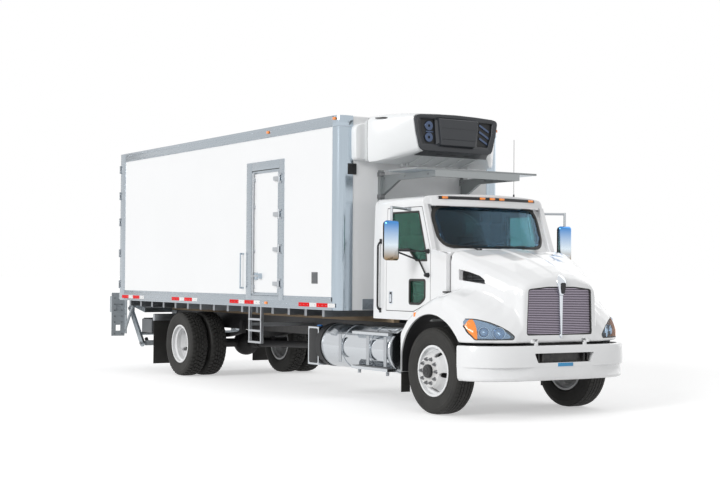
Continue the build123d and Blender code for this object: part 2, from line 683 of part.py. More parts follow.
def screen_sheet(forward, thickness, z_low, z_high):
    """A curved sheet along the windshield's slope, its face moved forward by a distance."""
    rise = z_low - cab_belt_z
    centre_x = screen_face_x + forward - rise * screen_slope
    with BuildSketch(Plane.XY.offset(z_low), mode=Mode.PRIVATE) as band:
        with Locations((centre_x - screen_radius, 0)):
            Circle(screen_radius)
            Circle(screen_radius - thickness, mode=Mode.SUBTRACT)
        with Locations((centre_x - 300, 0)):
            Rectangle(700, 2 * cab_half_width, mode=Mode.INTERSECT)
    direction = Vector(-screen_slope, 0, 1)
    extrude(band.sketch, amount=(z_high - z_low) * direction.length, dir=direction.normalized())


def screen_outline(grow):
    """The windshield's outline seen from the front, as a rounded face to extrude."""
    with BuildSketch(Plane.YZ.offset(cab_back_x), mode=Mode.PRIVATE) as outline:
        with BuildLine():
            low = screen_glass_low_z - grow
            top = screen_glass_top_z + grow
            low_half = screen_glass_low_half + grow
            top_half = screen_glass_top_half + grow
            Polyline((-low_half, low), (low_half, low), (top_half, top), (-top_half, top), close=True)
        make_face()
        fillet(outline.vertices(), radius=screen_corner_radius)
    return outline.sketch


screen_reach = cab_nose_x - cab_back_x
with BuildPart() as cab_front:
    screen_sheet(0.0, screen_frame_thickness, screen_low_z, cab_roof_rail_z)
    frame_outline = [(-inner_low, screen_low_z), (inner_low, screen_low_z),
                     (inner_low, cab_belt_z), (inner_top, cab_roof_rail_z),
                     (-inner_top, cab_roof_rail_z), (-inner_low, cab_belt_z)]
    cross_plate(frame_outline, cab_back_x, cab_nose_x, mode=Mode.INTERSECT)
    extrude(screen_outline(glass_gap), amount=screen_reach, mode=Mode.SUBTRACT)
    block((cab_firewall_x, cab_firewall_x + cab_firewall_thickness), (-inner_low, inner_low),
          (cab_floor_top_z, screen_low_z))
    block((cab_firewall_x, cab_nose_x), (-inner_low, inner_low), (screen_low_z - 40, screen_low_z))
save(cab_front.part, "cab_front")

# ---------------------------------------------------------------- windshield
with BuildPart() as windshield:
    screen_sheet(-screen_glass_inset, screen_glass_thickness, screen_low_z, cab_roof_rail_z)
    extrude(screen_outline(0.0), amount=screen_reach, mode=Mode.INTERSECT)
save(windshield.part, "windshield")

# ---------------------------------------------------------------- cab roof
roof_edge_z = cab_roof_rail_z
roof_shoulder_z = 2562.0
roof_crown_z = 2598.0
roof_shoulder_half = 842.0
roof_skin = 40.0
roof_front_centre_x = front_axle_x - 350
roof_front_radius = 3100.0


def roof_section(inset):
    """(y, z) outline of the roof's dome, lowered and narrowed by an inset."""
    edge_half = cab_roof_rail_half - inset
    shoulder_half = roof_shoulder_half - inset
    shoulder_z = roof_shoulder_z - inset
    mid = (edge_half - (edge_half - shoulder_half) * 0.32, roof_edge_z + (shoulder_z - roof_edge_z) * 0.68)
    Line((-edge_half, roof_edge_z), (edge_half, roof_edge_z))
    ThreePointArc((edge_half, roof_edge_z), mid, (shoulder_half, shoulder_z))
    ThreePointArc((shoulder_half, shoulder_z), (0, roof_crown_z - inset), (-shoulder_half, shoulder_z))
    ThreePointArc((-shoulder_half, shoulder_z), (-mid[0], mid[1]), (-edge_half, roof_edge_z))


with BuildPart() as cab_roof:
    with BuildSketch(Plane.YZ.offset(cab_back_x), mode=Mode.PRIVATE) as dome:
        with BuildLine():
            roof_section(0.0)
        make_face()
    with BuildSketch(Plane.YZ.offset(cab_back_x + cab_wall), mode=Mode.PRIVATE) as hollow:
        with BuildLine():
            roof_section(roof_skin)
        make_face()
    extrude(dome.sketch, amount=roof_front_centre_x - cab_back_x)
    extrude(hollow.sketch, amount=roof_front_centre_x - cab_back_x - cab_wall - 190, mode=Mode.SUBTRACT)
    with BuildSketch(Plane.XY.offset(roof_edge_z), mode=Mode.PRIVATE) as brow:
        with Locations((roof_front_centre_x - roof_front_radius, 0)):
            Circle(roof_front_radius)
    extrude(brow.sketch, amount=roof_crown_z - roof_edge_z + 10, mode=Mode.INTERSECT)
save(cab_roof.part, "cab_roof")

# ---------------------------------------------------------------- sun visor under the roof's brow
visor_depth = 14.0
visor_low_z = 2455.0
visor_half_width = 832.0
visor_top_set = 26.0         # roof's shoulder down to the visor's top
with BuildPart() as sun_visor:
    with BuildSketch(Plane.XY.offset(visor_low_z), mode=Mode.PRIVATE) as blade:
        with Locations((roof_front_centre_x - roof_front_radius, 0)):
            Circle(roof_front_radius + visor_depth)
            Circle(roof_front_radius + seat_gap, mode=Mode.SUBTRACT)
        with Locations((roof_front_centre_x - 200, 0)):
            Rectangle(500, 2 * visor_half_width, mode=Mode.INTERSECT)
    extrude(blade.sketch, amount=roof_shoulder_z - visor_top_set - visor_low_z)
save(sun_visor.part, "sun_visor")

# ---------------------------------------------------------------- dashboard with the steering wheel
dash_rear_x = front_axle_x - 640
wheel_centre = (front_axle_x - 830, 430, 1840)
column_foot = (front_axle_x - 560, 430, 1660)
with BuildPart() as dashboard:
    dash_outline = [(dash_rear_x, 1600), (cab_firewall_x, 1600), (cab_firewall_x, screen_low_z - 42),
                    (dash_rear_x + 60, 1860), (dash_rear_x, 1800)]
    side_plate(dash_outline, moving_gap - inner_low, inner_low - moving_gap)
    rod(column_foot, wheel_centre, 32)
    column = Vector(*wheel_centre) - Vector(*column_foot)
    with BuildSketch(Plane(origin=wheel_centre, x_dir=(0, 1, 0), z_dir=column), mode=Mode.PRIVATE) as ring:
        Circle(225)
        Circle(197, mode=Mode.SUBTRACT)
        Rectangle(420, 34)
    extrude(ring.sketch, amount=26, both=True)
save(dashboard.part, "dashboard")

# ---------------------------------------------------------------- two seats
with BuildPart() as seats:
    for side in (1, -1):
        low_y = side * 450 - 240
        seat_outline = [(front_axle_x - 1230, cab_floor_top_z), (front_axle_x - 840, cab_floor_top_z),
                        (front_axle_x - 800, 1430), (front_axle_x - 760, 1560), (front_axle_x - 1150, 1540),
                        (front_axle_x - 1250, 2100), (front_axle_x - 1370, 2120), (front_axle_x - 1290, 1450)]
        side_plate(seat_outline, low_y, low_y + 480)
        block((front_axle_x - 1380, front_axle_x - 1280), (side * 450 - 130, side * 450 + 130), (2090, 2310))
save(seats.part, "seats")

# ---------------------------------------------------------------- doors, their glass and the mirrors
mirror_x = front_axle_x - 537
mirror_y = 1352.0
mirror_half_width = 103.0
mirror_low_z = 1780.0
mirror_top_z = 2255.0
mirror_back = 20.0           # mirror's glass side behind its stalk's plane
mirror_front = 55.0          # mirror's shell ahead of that plane
pad_x = door_front_x - 38
pad_half = 30.0
pad_reach = 60.0             # pads' outer ends, out from the door's skin
mirror_arm_radius = 11.0
mirror_stalk_radius = 16.0
knee_y = cab_half_width + 35.0
rail_z = 2412.0
rail_half = 17.0
# One row per arm: pad z, knee's distance behind the front axle, knee z, z at the mirror
mirror_arms = [(1894.0, 395.0, 1896.0, 1900.0), (1611.0, 480.0, 1786.0, 1880.0)]
for side, name in ((1, "left"), (-1, "right")):
    with BuildPart() as door:
        cross_plate(side_band(side, 0.0, cab_wall, door_low_z, door_top_z), door_rear_x, door_front_x)
        side_plate(door_outline(0.0), -cab_half_width, cab_half_width, mode=Mode.INTERSECT)
        side_plate(window_outline(0.0), -cab_half_width, cab_half_width, mode=Mode.SUBTRACT)
        side_plate(peep_outline(0.0), -cab_half_width, cab_half_width, mode=Mode.SUBTRACT)
    save(door.part, f"door_{name}")

    with BuildPart() as door_glass:
        cross_plate(side_band(side, 12.0, glass_thickness, door_low_z, door_top_z), door_rear_x, door_front_x)
        with BuildPart(mode=Mode.PRIVATE) as panes:
            side_plate(window_outline(glass_gap), -cab_half_width, cab_half_width)
            side_plate(peep_outline(glass_gap), -cab_half_width, cab_half_width)
        add(panes.part, mode=Mode.INTERSECT)
    save(door_glass.part, f"door_glass_{name}")

    with BuildPart() as mirror:
        head_y = sorted((side * (mirror_y - mirror_half_width), side * (mirror_y + mirror_half_width)))
        block((mirror_x - mirror_back, mirror_x + mirror_front), head_y, (mirror_low_z, mirror_top_z))
        fillet(mirror.edges().filter_by(Axis.X), radius=35)
        for z, knee_set, knee_z, reach_z in mirror_arms:
            pad_y = sorted((side * cab_half_width, side * (cab_half_width + pad_reach)))
            block((pad_x - pad_half, pad_x + pad_half), pad_y, (z - pad_half, z + pad_half))
            knee = (front_axle_x - knee_set, side * knee_y, knee_z)
            rod((pad_x, side * knee_y, z), knee, mirror_arm_radius)
            with Locations(knee):
                Sphere(mirror_arm_radius)
            head_edge_y = side * (mirror_y - mirror_half_width + mirror_arm_radius)
            rod(knee, (mirror_x + mirror_front / 2, head_edge_y, reach_z), mirror_arm_radius)
        rail_y = sorted((side * half_width_at(rail_z - rail_half), side * (cab_roof_rail_half + 50)))
        block((mirror_x - 260, mirror_x - 180), rail_y, (rail_z - rail_half, rail_z + rail_half))
        stalk_x = mirror_x + 10
        rod((mirror_x - 220, side * (cab_roof_rail_half + 30), rail_z),
            (stalk_x, side * mirror_y, rail_z), mirror_stalk_radius)
        rod((stalk_x, side * mirror_y, rail_z + rail_half),
            (stalk_x, side * mirror_y, mirror_top_z - 20), mirror_stalk_radius)
    save(mirror.part, f"mirror_{name}")

# ================================================================ hood
# One row per section: ahead of the front axle, lower edge (y, z), shoulder (y, z), flat centre (y, z)
hood_sections = [
    (28.0, (905.0, 1230.0), (900.0, 1735.0), (175.0, 1930.0)),
    (470.0, (800.0, 1000.0), (722.0, 1610.0), (120.0, 1790.0)),
    (925.0, (530.0, 852.0), (505.0, 1470.0), (60.0, 1610.0)),
]


def hood_section(row, inset, drop):
    """One (y, z) section of the hood's body, narrowed by an inset and let down by a drop."""
    ahead, (low_y, low_z), (shoulder_y, shoulder_z), (centre_y, centre_z) = row
    low = (low_y - inset, low_z - drop)
    shoulder = (shoulder_y - inset, shoulder_z - inset)
    centre = (centre_y, centre_z - inset)
    mid = ((shoulder[0] * 0.62 + centre[0] * 0.38) + 22, (shoulder[1] * 0.38 + centre[1] * 0.62) + 12)
    left_mid = (-mid[0], mid[1])
    with BuildSketch(Plane.YZ.offset(front_axle_x + ahead), mode=Mode.PRIVATE) as section:
        with BuildLine():
            Line((-low[0], low[1]), low)
            Line(low, shoulder)
            ThreePointArc(shoulder, mid, centre)
            Line(centre, (-centre[0], centre[1]))
            ThreePointArc((-centre[0], centre[1]), left_mid, (-shoulder[0], shoulder[1]))
            Line((-shoulder[0], shoulder[1]), (-low[0], low[1]))
        make_face()
    return section.sketch.face()


# One row per section: ahead of the front axle, inner (y, z), crest (y, z), outer shoulder (y, z), low z
fender_sections = [
    (-602.0, (1020.0, 975.0), (1115.0, 965.0), (1160.0, 925.0), 455.0),
    (-465.0, (1020.0, 1118.0), (1118.0, 1103.0), (1168.0, 1052.0), 455.0),
    (-243.0, (965.0, 1255.0), (1120.0, 1238.0), (1170.0, 1180.0), 500.0),
    (28.0, (965.0, 1395.0), (1120.0, 1362.0), (1170.0, 1290.0), 560.0),
    (225.0, (830.0, 1480.0), (1120.0, 1392.0), (1170.0, 1300.0), 640.0),
    (430.0, (760.0, 1480.0), (1085.0, 1345.0), (1160.0, 1230.0), 852.0),
    (620.0, (690.0, 1420.0), (1030.0, 1240.0), (1130.0, 1110.0), 852.0),
    (780.0, (620.0, 1330.0), (860.0, 1165.0), (985.0, 1020.0), 852.0),
    (925.0, (520.0, 1250.0), (610.0, 1110.0), (660.0, 985.0), 852.0),
]


def fender_section(row, side):
    """One (y, z) section of a front fender."""
    ahead, inner, crest, outer, low_z = row
    with BuildSketch(Plane.YZ.offset(front_axle_x + ahead), mode=Mode.PRIVATE) as section:
        with BuildLine():
            Polyline((side * inner[0], inner[1]), (side * crest[0], crest[1]), (side * outer[0], outer[1]),
                     (side * outer[0], low_z), (side * inner[0], low_z), close=True)
        make_face()
    return section.sketch.face()


grille_half_top = 468.0
grille_half_low = 492.0
grille_top_z = 1470.0
grille_low_z = 935.0
grille_opening = [(-grille_half_low, grille_low_z), (grille_half_low, grille_low_z),
                  (grille_half_top, grille_top_z), (-grille_half_top, grille_top_z)]
grille_back_x = front_axle_x + 895
# (y, z) outline of a headlamp seen from the front, and how far it reaches back
lamp_outline = [(655, 900), (1005, 888), (1200, 900), (1200, 1118), (1100, 1120), (860, 1075), (690, 975)]
lamp_back_x = front_axle_x + 590


def lamp_prism(side, grow):
    """Extrude a headlamp's outline along x, grown by a gap on its back and edges."""
    with BuildSketch(Plane.YZ.offset(lamp_back_x - grow), mode=Mode.PRIVATE) as outline:
        with BuildLine():
            Polyline(*[(side * y, z) for y, z in lamp_outline], close=True)
        make_face()
        if grow > 0:
            offset(amount=grow, kind=Kind.INTERSECTION)
    extrude(outline.sketch, amount=600)


def fender_solid(side):
    """A front fender's full outer form."""
    with BuildPart(mode=Mode.PRIVATE) as fender:
        loft([fender_section(row, side) for row in fender_sections], ruled=True)
    return fender.part


fender_pair = {side: fender_solid(side) for side in (1, -1)}

with BuildPart() as hood:
    loft([hood_section(row, 0.0, 0.0) for row in hood_sections])
    for side in (1, -1):
        add(fender_pair[side])
    inner_rows = [(ahead - 60 if ahead < 100 else ahead - hood_skin, low, shoulder, centre)
                  for ahead, low, shoulder, centre in hood_sections]
    with BuildPart(mode=Mode.PRIVATE) as hollow:
        loft([hood_section(row, hood_skin, 500.0) for row in inner_rows])
    add(hollow.part, mode=Mode.SUBTRACT)
    arch_low = (front_axle_x, -fender_outer_y - 50, arch_centre_z)
    arch_high = (front_axle_x, fender_outer_y + 50, arch_centre_z)
    rod(arch_low, arch_high, arch_radius, mode=Mode.SUBTRACT)
    block((front_axle_x - 520, front_axle_x + 540), (-fender_outer_y - 50, fender_outer_y + 50),
          (arch_centre_z - 400, arch_centre_z), mode=Mode.SUBTRACT)
    cross_plate(grille_opening, front_axle_x + 800, front_axle_x + 1000, mode=Mode.SUBTRACT)
    for side in (1, -1):
        with BuildPart(mode=Mode.PRIVATE) as pocket:
            lamp_prism(side, seat_gap)
        add(pocket.part, mode=Mode.SUBTRACT)
        notch_y = sorted((side * (hood_pivot_y - 35), side * (hood_pivot_y + 32)))
        block((hood_pivot_x - 50, hood_pivot_x + 40), notch_y, (hood_pivot_z - 20, hood_pivot_z + 35),
              mode=Mode.SUBTRACT)
        ear_y = sorted((side * (hood_pivot_y + 32), side * (hood_pivot_y + 62)))
        block((hood_pivot_x - 30, hood_pivot_x + 12), ear_y, (hood_pivot_z - 8, hood_pivot_z + 25))
        rod((hood_pivot_x, side * (hood_pivot_y - 25), hood_pivot_z),
            (hood_pivot_x, side * (hood_pivot_y + 40), hood_pivot_z), hood_pin_radius)
save(hood.part, "hood")

with BuildPart() as headlamps:
    for side in (1, -1):
        with BuildPart(mode=Mode.PRIVATE) as lamp:
            lamp_prism(side, 0.0)
        add(fender_pair[side].intersect(lamp.part))
save(headlamps.part, "headlamps")

# ---------------------------------------------------------------- grille: frame, fine bars and centre bar
grille_frame = 26.0
grille_bar_pitch = 21.0
grille_bar_height = 7.0
centre_bar_half = 24.0
with BuildPart() as grille:
    with BuildSketch(Plane.YZ.offset(grille_back_x), mode=Mode.PRIVATE) as rim:
        with BuildLine():
            Polyline(*grille_opening, close=True)
        make_face()
        offset(amount=-seat_gap, kind=Kind.INTERSECTION)
    with BuildSketch(Plane.YZ.offset(grille_back_x), mode=Mode.PRIVATE) as inside:
        with BuildLine():
            Polyline(*grille_opening, close=True)
        make_face()
        offset(amount=-grille_frame, kind=Kind.INTERSECTION)
    extrude(rim.sketch, amount=42)
    extrude(inside.sketch, amount=42, mode=Mode.SUBTRACT)
    bar_count = int((grille_top_z - grille_low_z - 2 * grille_frame) / grille_bar_pitch)
    for step in range(bar_count):
        z = grille_low_z + grille_frame + (step + 0.5) * grille_bar_pitch
        half = grille_half_low - (grille_half_low - grille_half_top) * (z - grille_low_z) / (
            grille_top_z - grille_low_z) - grille_frame + 1
        block((grille_back_x + 6, grille_back_x + 30), (-half, half), (z, z + grille_bar_height))
    block((grille_back_x, grille_back_x + 62), (-centre_bar_half, centre_bar_half),
          (grille_low_z + 2, grille_top_z - 2))
save(grille.part, "grille")

# ---------------------------------------------------------------- front mud flaps on the fenders' tails
front_flap_x = front_axle_x - 600
front_flap_thickness = 10.0
front_flap_inner_y = 1024.0
front_flap_outer_y = 1150.0
front_flap_low_z = 213.0
fender_tail_z = fender_sections[0][-1]
with BuildPart() as front_mud_flaps:
    for side in (1, -1):
        rubber_y = sorted((side * front_flap_inner_y, side * front_flap_outer_y))
        block((front_flap_x, front_flap_x + front_flap_thickness), rubber_y,
              (front_flap_low_z, fender_tail_z))
save(front_mud_flaps.part, "front_mud_flaps")

# ================================================================ box body
front_wall_rear_x = box_front_x - box_front_wall_thickness
side_wall_front_x = box_front_x - box_corner_radius
rear_frame_front_x = box_rear_x + rear_frame_depth
side_door_rear_x = front_axle_x - side_door_rear_set
side_door_front_x = side_door_rear_x + side_door_width
side_door_hinge_x = side_door_front_x + side_door_hinge_ahead
side_door_hinge_y = -(box_half_width + side_door_hinge_out)
side_hinge_heights = (1480.0, 1950.0, 2430.0, 2920.0)
rear_hinge_heights = (1420.0, 1950.0, 2480.0, 2930.0, 3380.0)
box_hinge_half = 40.0
box_hinge_radius = 11.0
box_lug_height = 26.0


def hinge_lug_lows(z):
    """Lower ends of the two fixed lugs, above and below a leaf's hinge barrel."""
    return (z - box_hinge_half - seat_gap - box_lug_height, z + box_hinge_half + seat_gap)


# ---------------------------------------------------------------- box floor on its bearers
with BuildPart() as box_floor:
    block((rear_frame_front_x, front_wall_rear_x), (-box_inner_y, box_inner_y), (box_low_z, box_floor_top_z))
    bearer_count = int((front_wall_rear_x - rear_frame_front_x - bearer_width) / bearer_pitch) + 1
    for step in range(bearer_count):
        x = rear_frame_front_x + step * bearer_pitch
        block((x, x + bearer_width), (-box_inner_y, box_inner_y), (bearer_low_z, box_low_z))
save(box_floor.part, "box_floor")

# ---------------------------------------------------------------- box roof, side walls and front wall
with BuildPart() as box_roof:
    block((rear_frame_front_x, front_wall_rear_x), (-box_inner_y, box_inner_y), (box_roof_low_z, box_top_z))
save(box_roof.part, "box_roof")

for side, name in ((1, "left"), (-1, "right")):
    wall_y = sorted((side * box_inner_y, side * box_half_width))
    with BuildPart() as box_wall_part:
        block((rear_frame_front_x, side_wall_front_x), wall_y, (box_low_z, box_top_z))
        if side < 0:
            block((side_door_rear_x - moving_gap, side_door_front_x + moving_gap), wall_y,
                  (side_door_low_z - moving_gap, side_door_top_z + moving_gap), mode=Mode.SUBTRACT)
            for z in side_hinge_heights:
                for low_z in hinge_lug_lows(z):
                    block((side_door_hinge_x, side_door_hinge_x + 50),
                          (side_door_hinge_y, -box_half_width), (low_z, low_z + box_lug_height))
                    rod((side_door_hinge_x, side_door_hinge_y, low_z),
                        (side_door_hinge_x, side_door_hinge_y, low_z + box_lug_height), box_hinge_radius)
    save(box_wall_part.part, f"box_wall_{name}")

with BuildPart() as box_front_wall:
    block((front_wall_rear_x, box_front_x), (-box_inner_y, box_inner_y), (box_low_z, box_top_z))
    for side in (1, -1):
        corner_y = sorted((side * box_inner_y, side * box_half_width))
        block((side_wall_front_x, box_front_x), corner_y, (box_low_z, box_top_z))
    posts = box_front_wall.edges().filter_by(Axis.Z).group_by(Axis.X)[-1]
    fillet(posts, radius=box_corner_radius - 10)
save(box_front_wall.part, "box_front_wall")

# ---------------------------------------------------------------- rear frame
rear_hinge_x = box_rear_x - rear_hinge_back
rear_open_half = box_half_width - rear_post_width
with BuildPart() as box_rear_frame:
    block((box_rear_x, rear_frame_front_x), (-box_half_width, box_half_width), (box_low_z, box_top_z))
    block((box_rear_x, rear_frame_front_x), (-rear_open_half, rear_open_half),
          (box_floor_top_z, rear_header_z), mode=Mode.SUBTRACT)
    for side in (1, -1):
        hinge_y = side * rear_hinge_y
        lug_y = sorted((side * (box_half_width - rear_lug_width),
                        side * (rear_hinge_y + box_hinge_radius)))
        for z in rear_hinge_heights:
            for low_z in hinge_lug_lows(z):
                block((rear_hinge_x, box_rear_x), lug_y, (low_z, low_z + box_lug_height))
                rod((rear_hinge_x, hinge_y, low_z), (rear_hinge_x, hinge_y, low_z + box_lug_height),
                    box_hinge_radius)
save(box_rear_frame.part, "box_rear_frame")

# ---------------------------------------------------------------- side door
with BuildPart() as side_door:
    block((side_door_rear_x, side_door_front_x), (-box_half_width, side_leaf_thickness - box_half_width),
          (side_door_low_z, side_door_top_z))
    for z in side_hinge_heights:
        block((side_door_front_x - 130, side_door_front_x), (side_door_hinge_y - 6, -box_half_width),
              (z - 28, z + 28))
        block((side_door_front_x, side_door_hinge_x), (side_door_hinge_y - 6, side_door_hinge_y + 6),
              (z - 28, z + 28))
        rod((side_door_hinge_x, side_door_hinge_y, z - box_hinge_half),
            (side_door_hinge_x, side_door_hinge_y, z + box_hinge_half), box_hinge_radius)
    rod_x = side_door_rear_x + 55
    rod((rod_x, -box_half_width - 26, side_door_low_z + 20),
        (rod_x, -box_half_width - 26, side_door_top_z - 20), 13)
    for z in (side_door_low_z + 120, side_door_low_z + 620, side_door_top_z - 500, side_door_top_z - 120):
        block((rod_x - 30, rod_x + 30), (-box_half_width - 26, -box_half_width), (z - 22, z + 22))
    block((rod_x, rod_x + 210), (-box_half_width - 52, -box_half_width - 30), (1572, 1592))
save(side_door.part, "side_door")

# ---------------------------------------------------------------- rear doors
leaf_low_z = box_floor_top_z + moving_gap
leaf_top_z = rear_header_z - moving_gap
for side, name in ((1, "left"), (-1, "right")):
    leaf_y = sorted((side * rear_leaf_centre_gap / 2, side * (rear_open_half - moving_gap)))
    hinge_y = side * rear_hinge_y
    with BuildPart() as rear_door:
        block((box_rear_x, box_rear_x + rear_leaf_thickness), leaf_y, (leaf_low_z, leaf_top_z))
        for z in rear_hinge_heights:
            strap_y = sorted((side * (rear_open_half - 150), hinge_y))
            block((rear_hinge_x - 4, rear_hinge_x + 4), strap_y, (z - 28, z + 28))
            root_y = sorted((side * (rear_open_half - 150), side * (rear_open_half - 20)))
            block((rear_hinge_x, box_rear_x), root_y, (z - 28, z + 28))
            rod((rear_hinge_x, hinge_y, z - box_hinge_half), (rear_hinge_x, hinge_y, z + box_hinge_half),
                box_hinge_radius)
        for share in (250.0, 800.0):
            bar_y = side * (rear_leaf_centre_gap / 2 + share)
            rod((box_rear_x - 22, bar_y, leaf_low_z + 10), (box_rear_x - 22, bar_y, leaf_top_z - 10), 13)
            for z in (leaf_low_z + 90, 1900, 2500, leaf_top_z - 90):
                block((box_rear_x - 22, box_rear_x), (bar_y - 28, bar_y + 28), (z - 22, z + 22))
    save(rear_door.part, f"rear_door_{name}")

# ================================================================ refrigeration unit and its platform
# One row per section: behind the front axle, top half width and z, shoulder half and z, low half and z
unit_sections = [
    (1806.0, (960.0, 3555.0), (1110.0, 3490.0), (1110.0, 3070.0)),
    (1590.0, (900.0, 3655.0), (1000.0, 3570.0), (990.0, 3032.0)),
    (1060.0, (560.0, 3655.0), (640.0, 3610.0), (540.0, 3175.0)),
]


def unit_section(row):
    """One (y, z) section of the refrigeration unit's shell."""
    behind, top, shoulder, low = row
    with BuildSketch(Plane.YZ.offset(front_axle_x - behind), mode=Mode.PRIVATE) as section:
        with BuildLine():
            Line((-low[0], low[1]), low)
            Line(low, shoulder)
            Line(shoulder, top)
            ThreePointArc(top, (0, top[1] + 22), (-top[0], top[1]))
            Line((-top[0], top[1]), (-shoulder[0], shoulder[1]))
            Line((-shoulder[0], shoulder[1]), (-low[0], low[1]))
        make_face()
    return section.sketch.face()


with BuildPart() as reefer_housing:
    loft([unit_section(row) for row in unit_sections], ruled=True)
    block((box_front_x, front_axle_x - 1806), (-1100, 1100), (3075, 3490))
save(reefer_housing.part, "reefer_housing")

unit_front_x = front_axle_x - 1060
with BuildPart() as reefer_grille:
    front_outline = [(-540, 3180), (540, 3180), (636, 3606), (560, 3650), (-560, 3650), (-636, 3606)]
    cross_plate(front_outline, unit_front_x, unit_front_x + 40)
    for side in (1, -1):
        opening = [(side * 300, 3250), (side * 500, 3250), (side * 560, 3560), (side * 330, 3560)]
        cross_plate(opening, unit_front_x + 8, unit_front_x + 50, mode=Mode.SUBTRACT)
    cross_plate([(-285, 3245), (285, 3245), (310, 3565), (-310, 3565)], unit_front_x + 40, unit_front_x + 75)
save(reefer_grille.part, "reefer_grille")

platform_front_x = front_axle_x - 603
platform_rear_x = front_axle_x - 1225
platform_top_z = 2918.0
platform_half = 941.0
with BuildPart() as roof_platform:
    block((platform_rear_x, platform_front_x), (-platform_half, platform_half), (2893, platform_top_z))
    block((platform_front_x - 45, platform_front_x), (-660, 660), (2815, 2893))
    for side in (1, -1):
        beam_y = sorted((side * 620, side * 660))
        block((box_front_x, platform_front_x - 45), beam_y, (2815, 2893))
        post_y = sorted((side * 645, side * 695))
        block((box_front_x, box_front_x + 60), post_y, (2480, 2960))
        gusset = [(box_front_x + 60, 2815), (box_front_x + 420, 2815), (box_front_x + 60, 2640)]
        side_plate(gusset, beam_y[0], beam_y[1])
save(roof_platform.part, "roof_platform")

# ================================================================ tail lift
lift_plate_x = box_rear_x - lift_plate_set
lift_pivot_x = box_rear_x + lift_pivot_ahead
lift_tip_x = box_rear_x - lift_tip_back
dock_bumper_x = rear_axle_x - rear_overhang
dock_bumper_low_z = 930.0
dock_bumper_top_z = 1210.0
lift_bed_low_z = 1225.0
lift_bed_top_z = 1262.0
lift_plate_thickness = 12.0
lift_plate_low_z = 520.0
lift_plate_inner_y = box_half_width - 243
lift_bed_half = lift_plate_inner_y - lift_plate_thickness
lift_beam_half = box_half_width - 5
lift_beam_depth = 60.0
# One row per hole: inner and outer edge in from the box's side face, low z, high z
lift_plate_holes = [(200.0, 80.0, 955.0, 1075.0), (165.0, 80.0, 610.0, 710.0)]
with BuildPart() as liftgate_frame:
    # bed extension behind the sill, and the sill beam that carries it
    block((lift_plate_x, box_rear_x), (-lift_bed_half, lift_bed_half), (lift_bed_low_z, lift_bed_top_z))
    block((box_rear_x - lift_beam_depth, box_rear_x), (-lift_beam_half, lift_beam_half),
          (box_low_z + 10, lift_bed_top_z))
    for side in (1, -1):
        plate_y = sorted((side * lift_plate_inner_y, side * box_half_width))
        block((lift_plate_x, lift_plate_x + lift_plate_thickness), plate_y,
              (lift_plate_low_z, lift_bed_top_z + 8))
        flange_y = sorted((side * lift_bed_half, side * lift_plate_inner_y))
        block((lift_plate_x, lift_plate_x + 90), flange_y, (lift_plate_low_z + 40, lift_bed_top_z))
        for inner_set, outer_set, low_z, high_z in lift_plate_holes:
            hole_y = sorted((side * (box_half_width - inner_set), side * (box_half_width - outer_set)))
            block((lift_plate_x - 5, lift_plate_x + lift_plate_thickness + 5), hole_y,
                  (low_z, high_z), mode=Mode.SUBTRACT)
        block((dock_bumper_x, lift_plate_x), plate_y, (dock_bumper_low_z, dock_bumper_top_z))
        brace_y = side * (lift_bed_half + lift_plate_thickness / 2)
        rod((lift_plate_x + 40, brace_y, 640), (box_rear_x + 30, brace_y, 1130), 22)
        foot_y = sorted((side * (lift_bed_half - 20), side * (lift_plate_inner_y + 20)))
        block((box_rear_x, box_rear_x + 70), foot_y, (1080, box_low_z))
    # lower cross tube with its hangers, and the pump box
    rod((lift_pivot_x, -lift_arm_y + 60, lift_pivot_z), (lift_pivot_x, lift_arm_y - 60, lift_pivot_z), 45)
    rod((lift_pivot_x, -lift_arm_y - 30, lift_pivot_z), (lift_pivot_x, lift_arm_y + 30, lift_pivot_z),
        lift_pivot_pin)
    for side in (1, -1):
        hanger_y = sorted((side * rail_outer_y, side * (rail_outer_y + 14)))
        hanger = [(lift_pivot_x - 60, lift_pivot_z - 60), (lift_pivot_x + 60, lift_pivot_z - 60),
                  (rail_rear_x + 200, rail_top_z - 10), (rail_rear_x + 20, rail_top_z - 10),
                  (lift_pivot_x - 60, lift_pivot_z + 60)]
        side_plate(hanger, *hanger_y)
    block((lift_pivot_x - 60, lift_pivot_x + 370), (45 - lift_arm_y, -rail_outer_y - 14), (590, 850))
save(liftgate_frame.part, "liftgate_frame")

with BuildPart() as liftgate_arms:
    pivot = Vector(lift_pivot_x, 0, lift_pivot_z)
    tip = Vector(lift_tip_x, 0, lift_tip_z)
    for side in (1, -1):
        inner_y = side * (lift_arm_y - lift_arm_thickness / 2)
        outer_y = side * (lift_arm_y + lift_arm_thickness / 2)
        for end, radius in ((pivot, 62), (tip, 55)):
            rod((end.X, inner_y, end.Z), (end.X, outer_y, end.Z), radius)
        along = (tip - pivot).normalized()
        across = Vector(-along.Z, 0, along.X)
        arm_outline = [pivot + across * 60, tip + across * 50, tip - across * 50, pivot - across * 60]
        side_plate([(point.X, point.Z) for point in arm_outline], *sorted((inner_y, outer_y)))
    cross = tip - along * lift_cross_set
    rod((cross.X, -lift_arm_y, cross.Z), (cross.X, lift_arm_y, cross.Z), lift_cross_radius)
    for side in (1, -1):
        for end, radius in ((pivot, lift_pivot_pin), (tip, lift_tip_pin)):
            rod((end.X, side * (lift_arm_y - 40), end.Z), (end.X, side * (lift_arm_y + 40), end.Z),
                radius + pin_fit, mode=Mode.SUBTRACT)
save(liftgate_arms.part, "liftgate_arms")

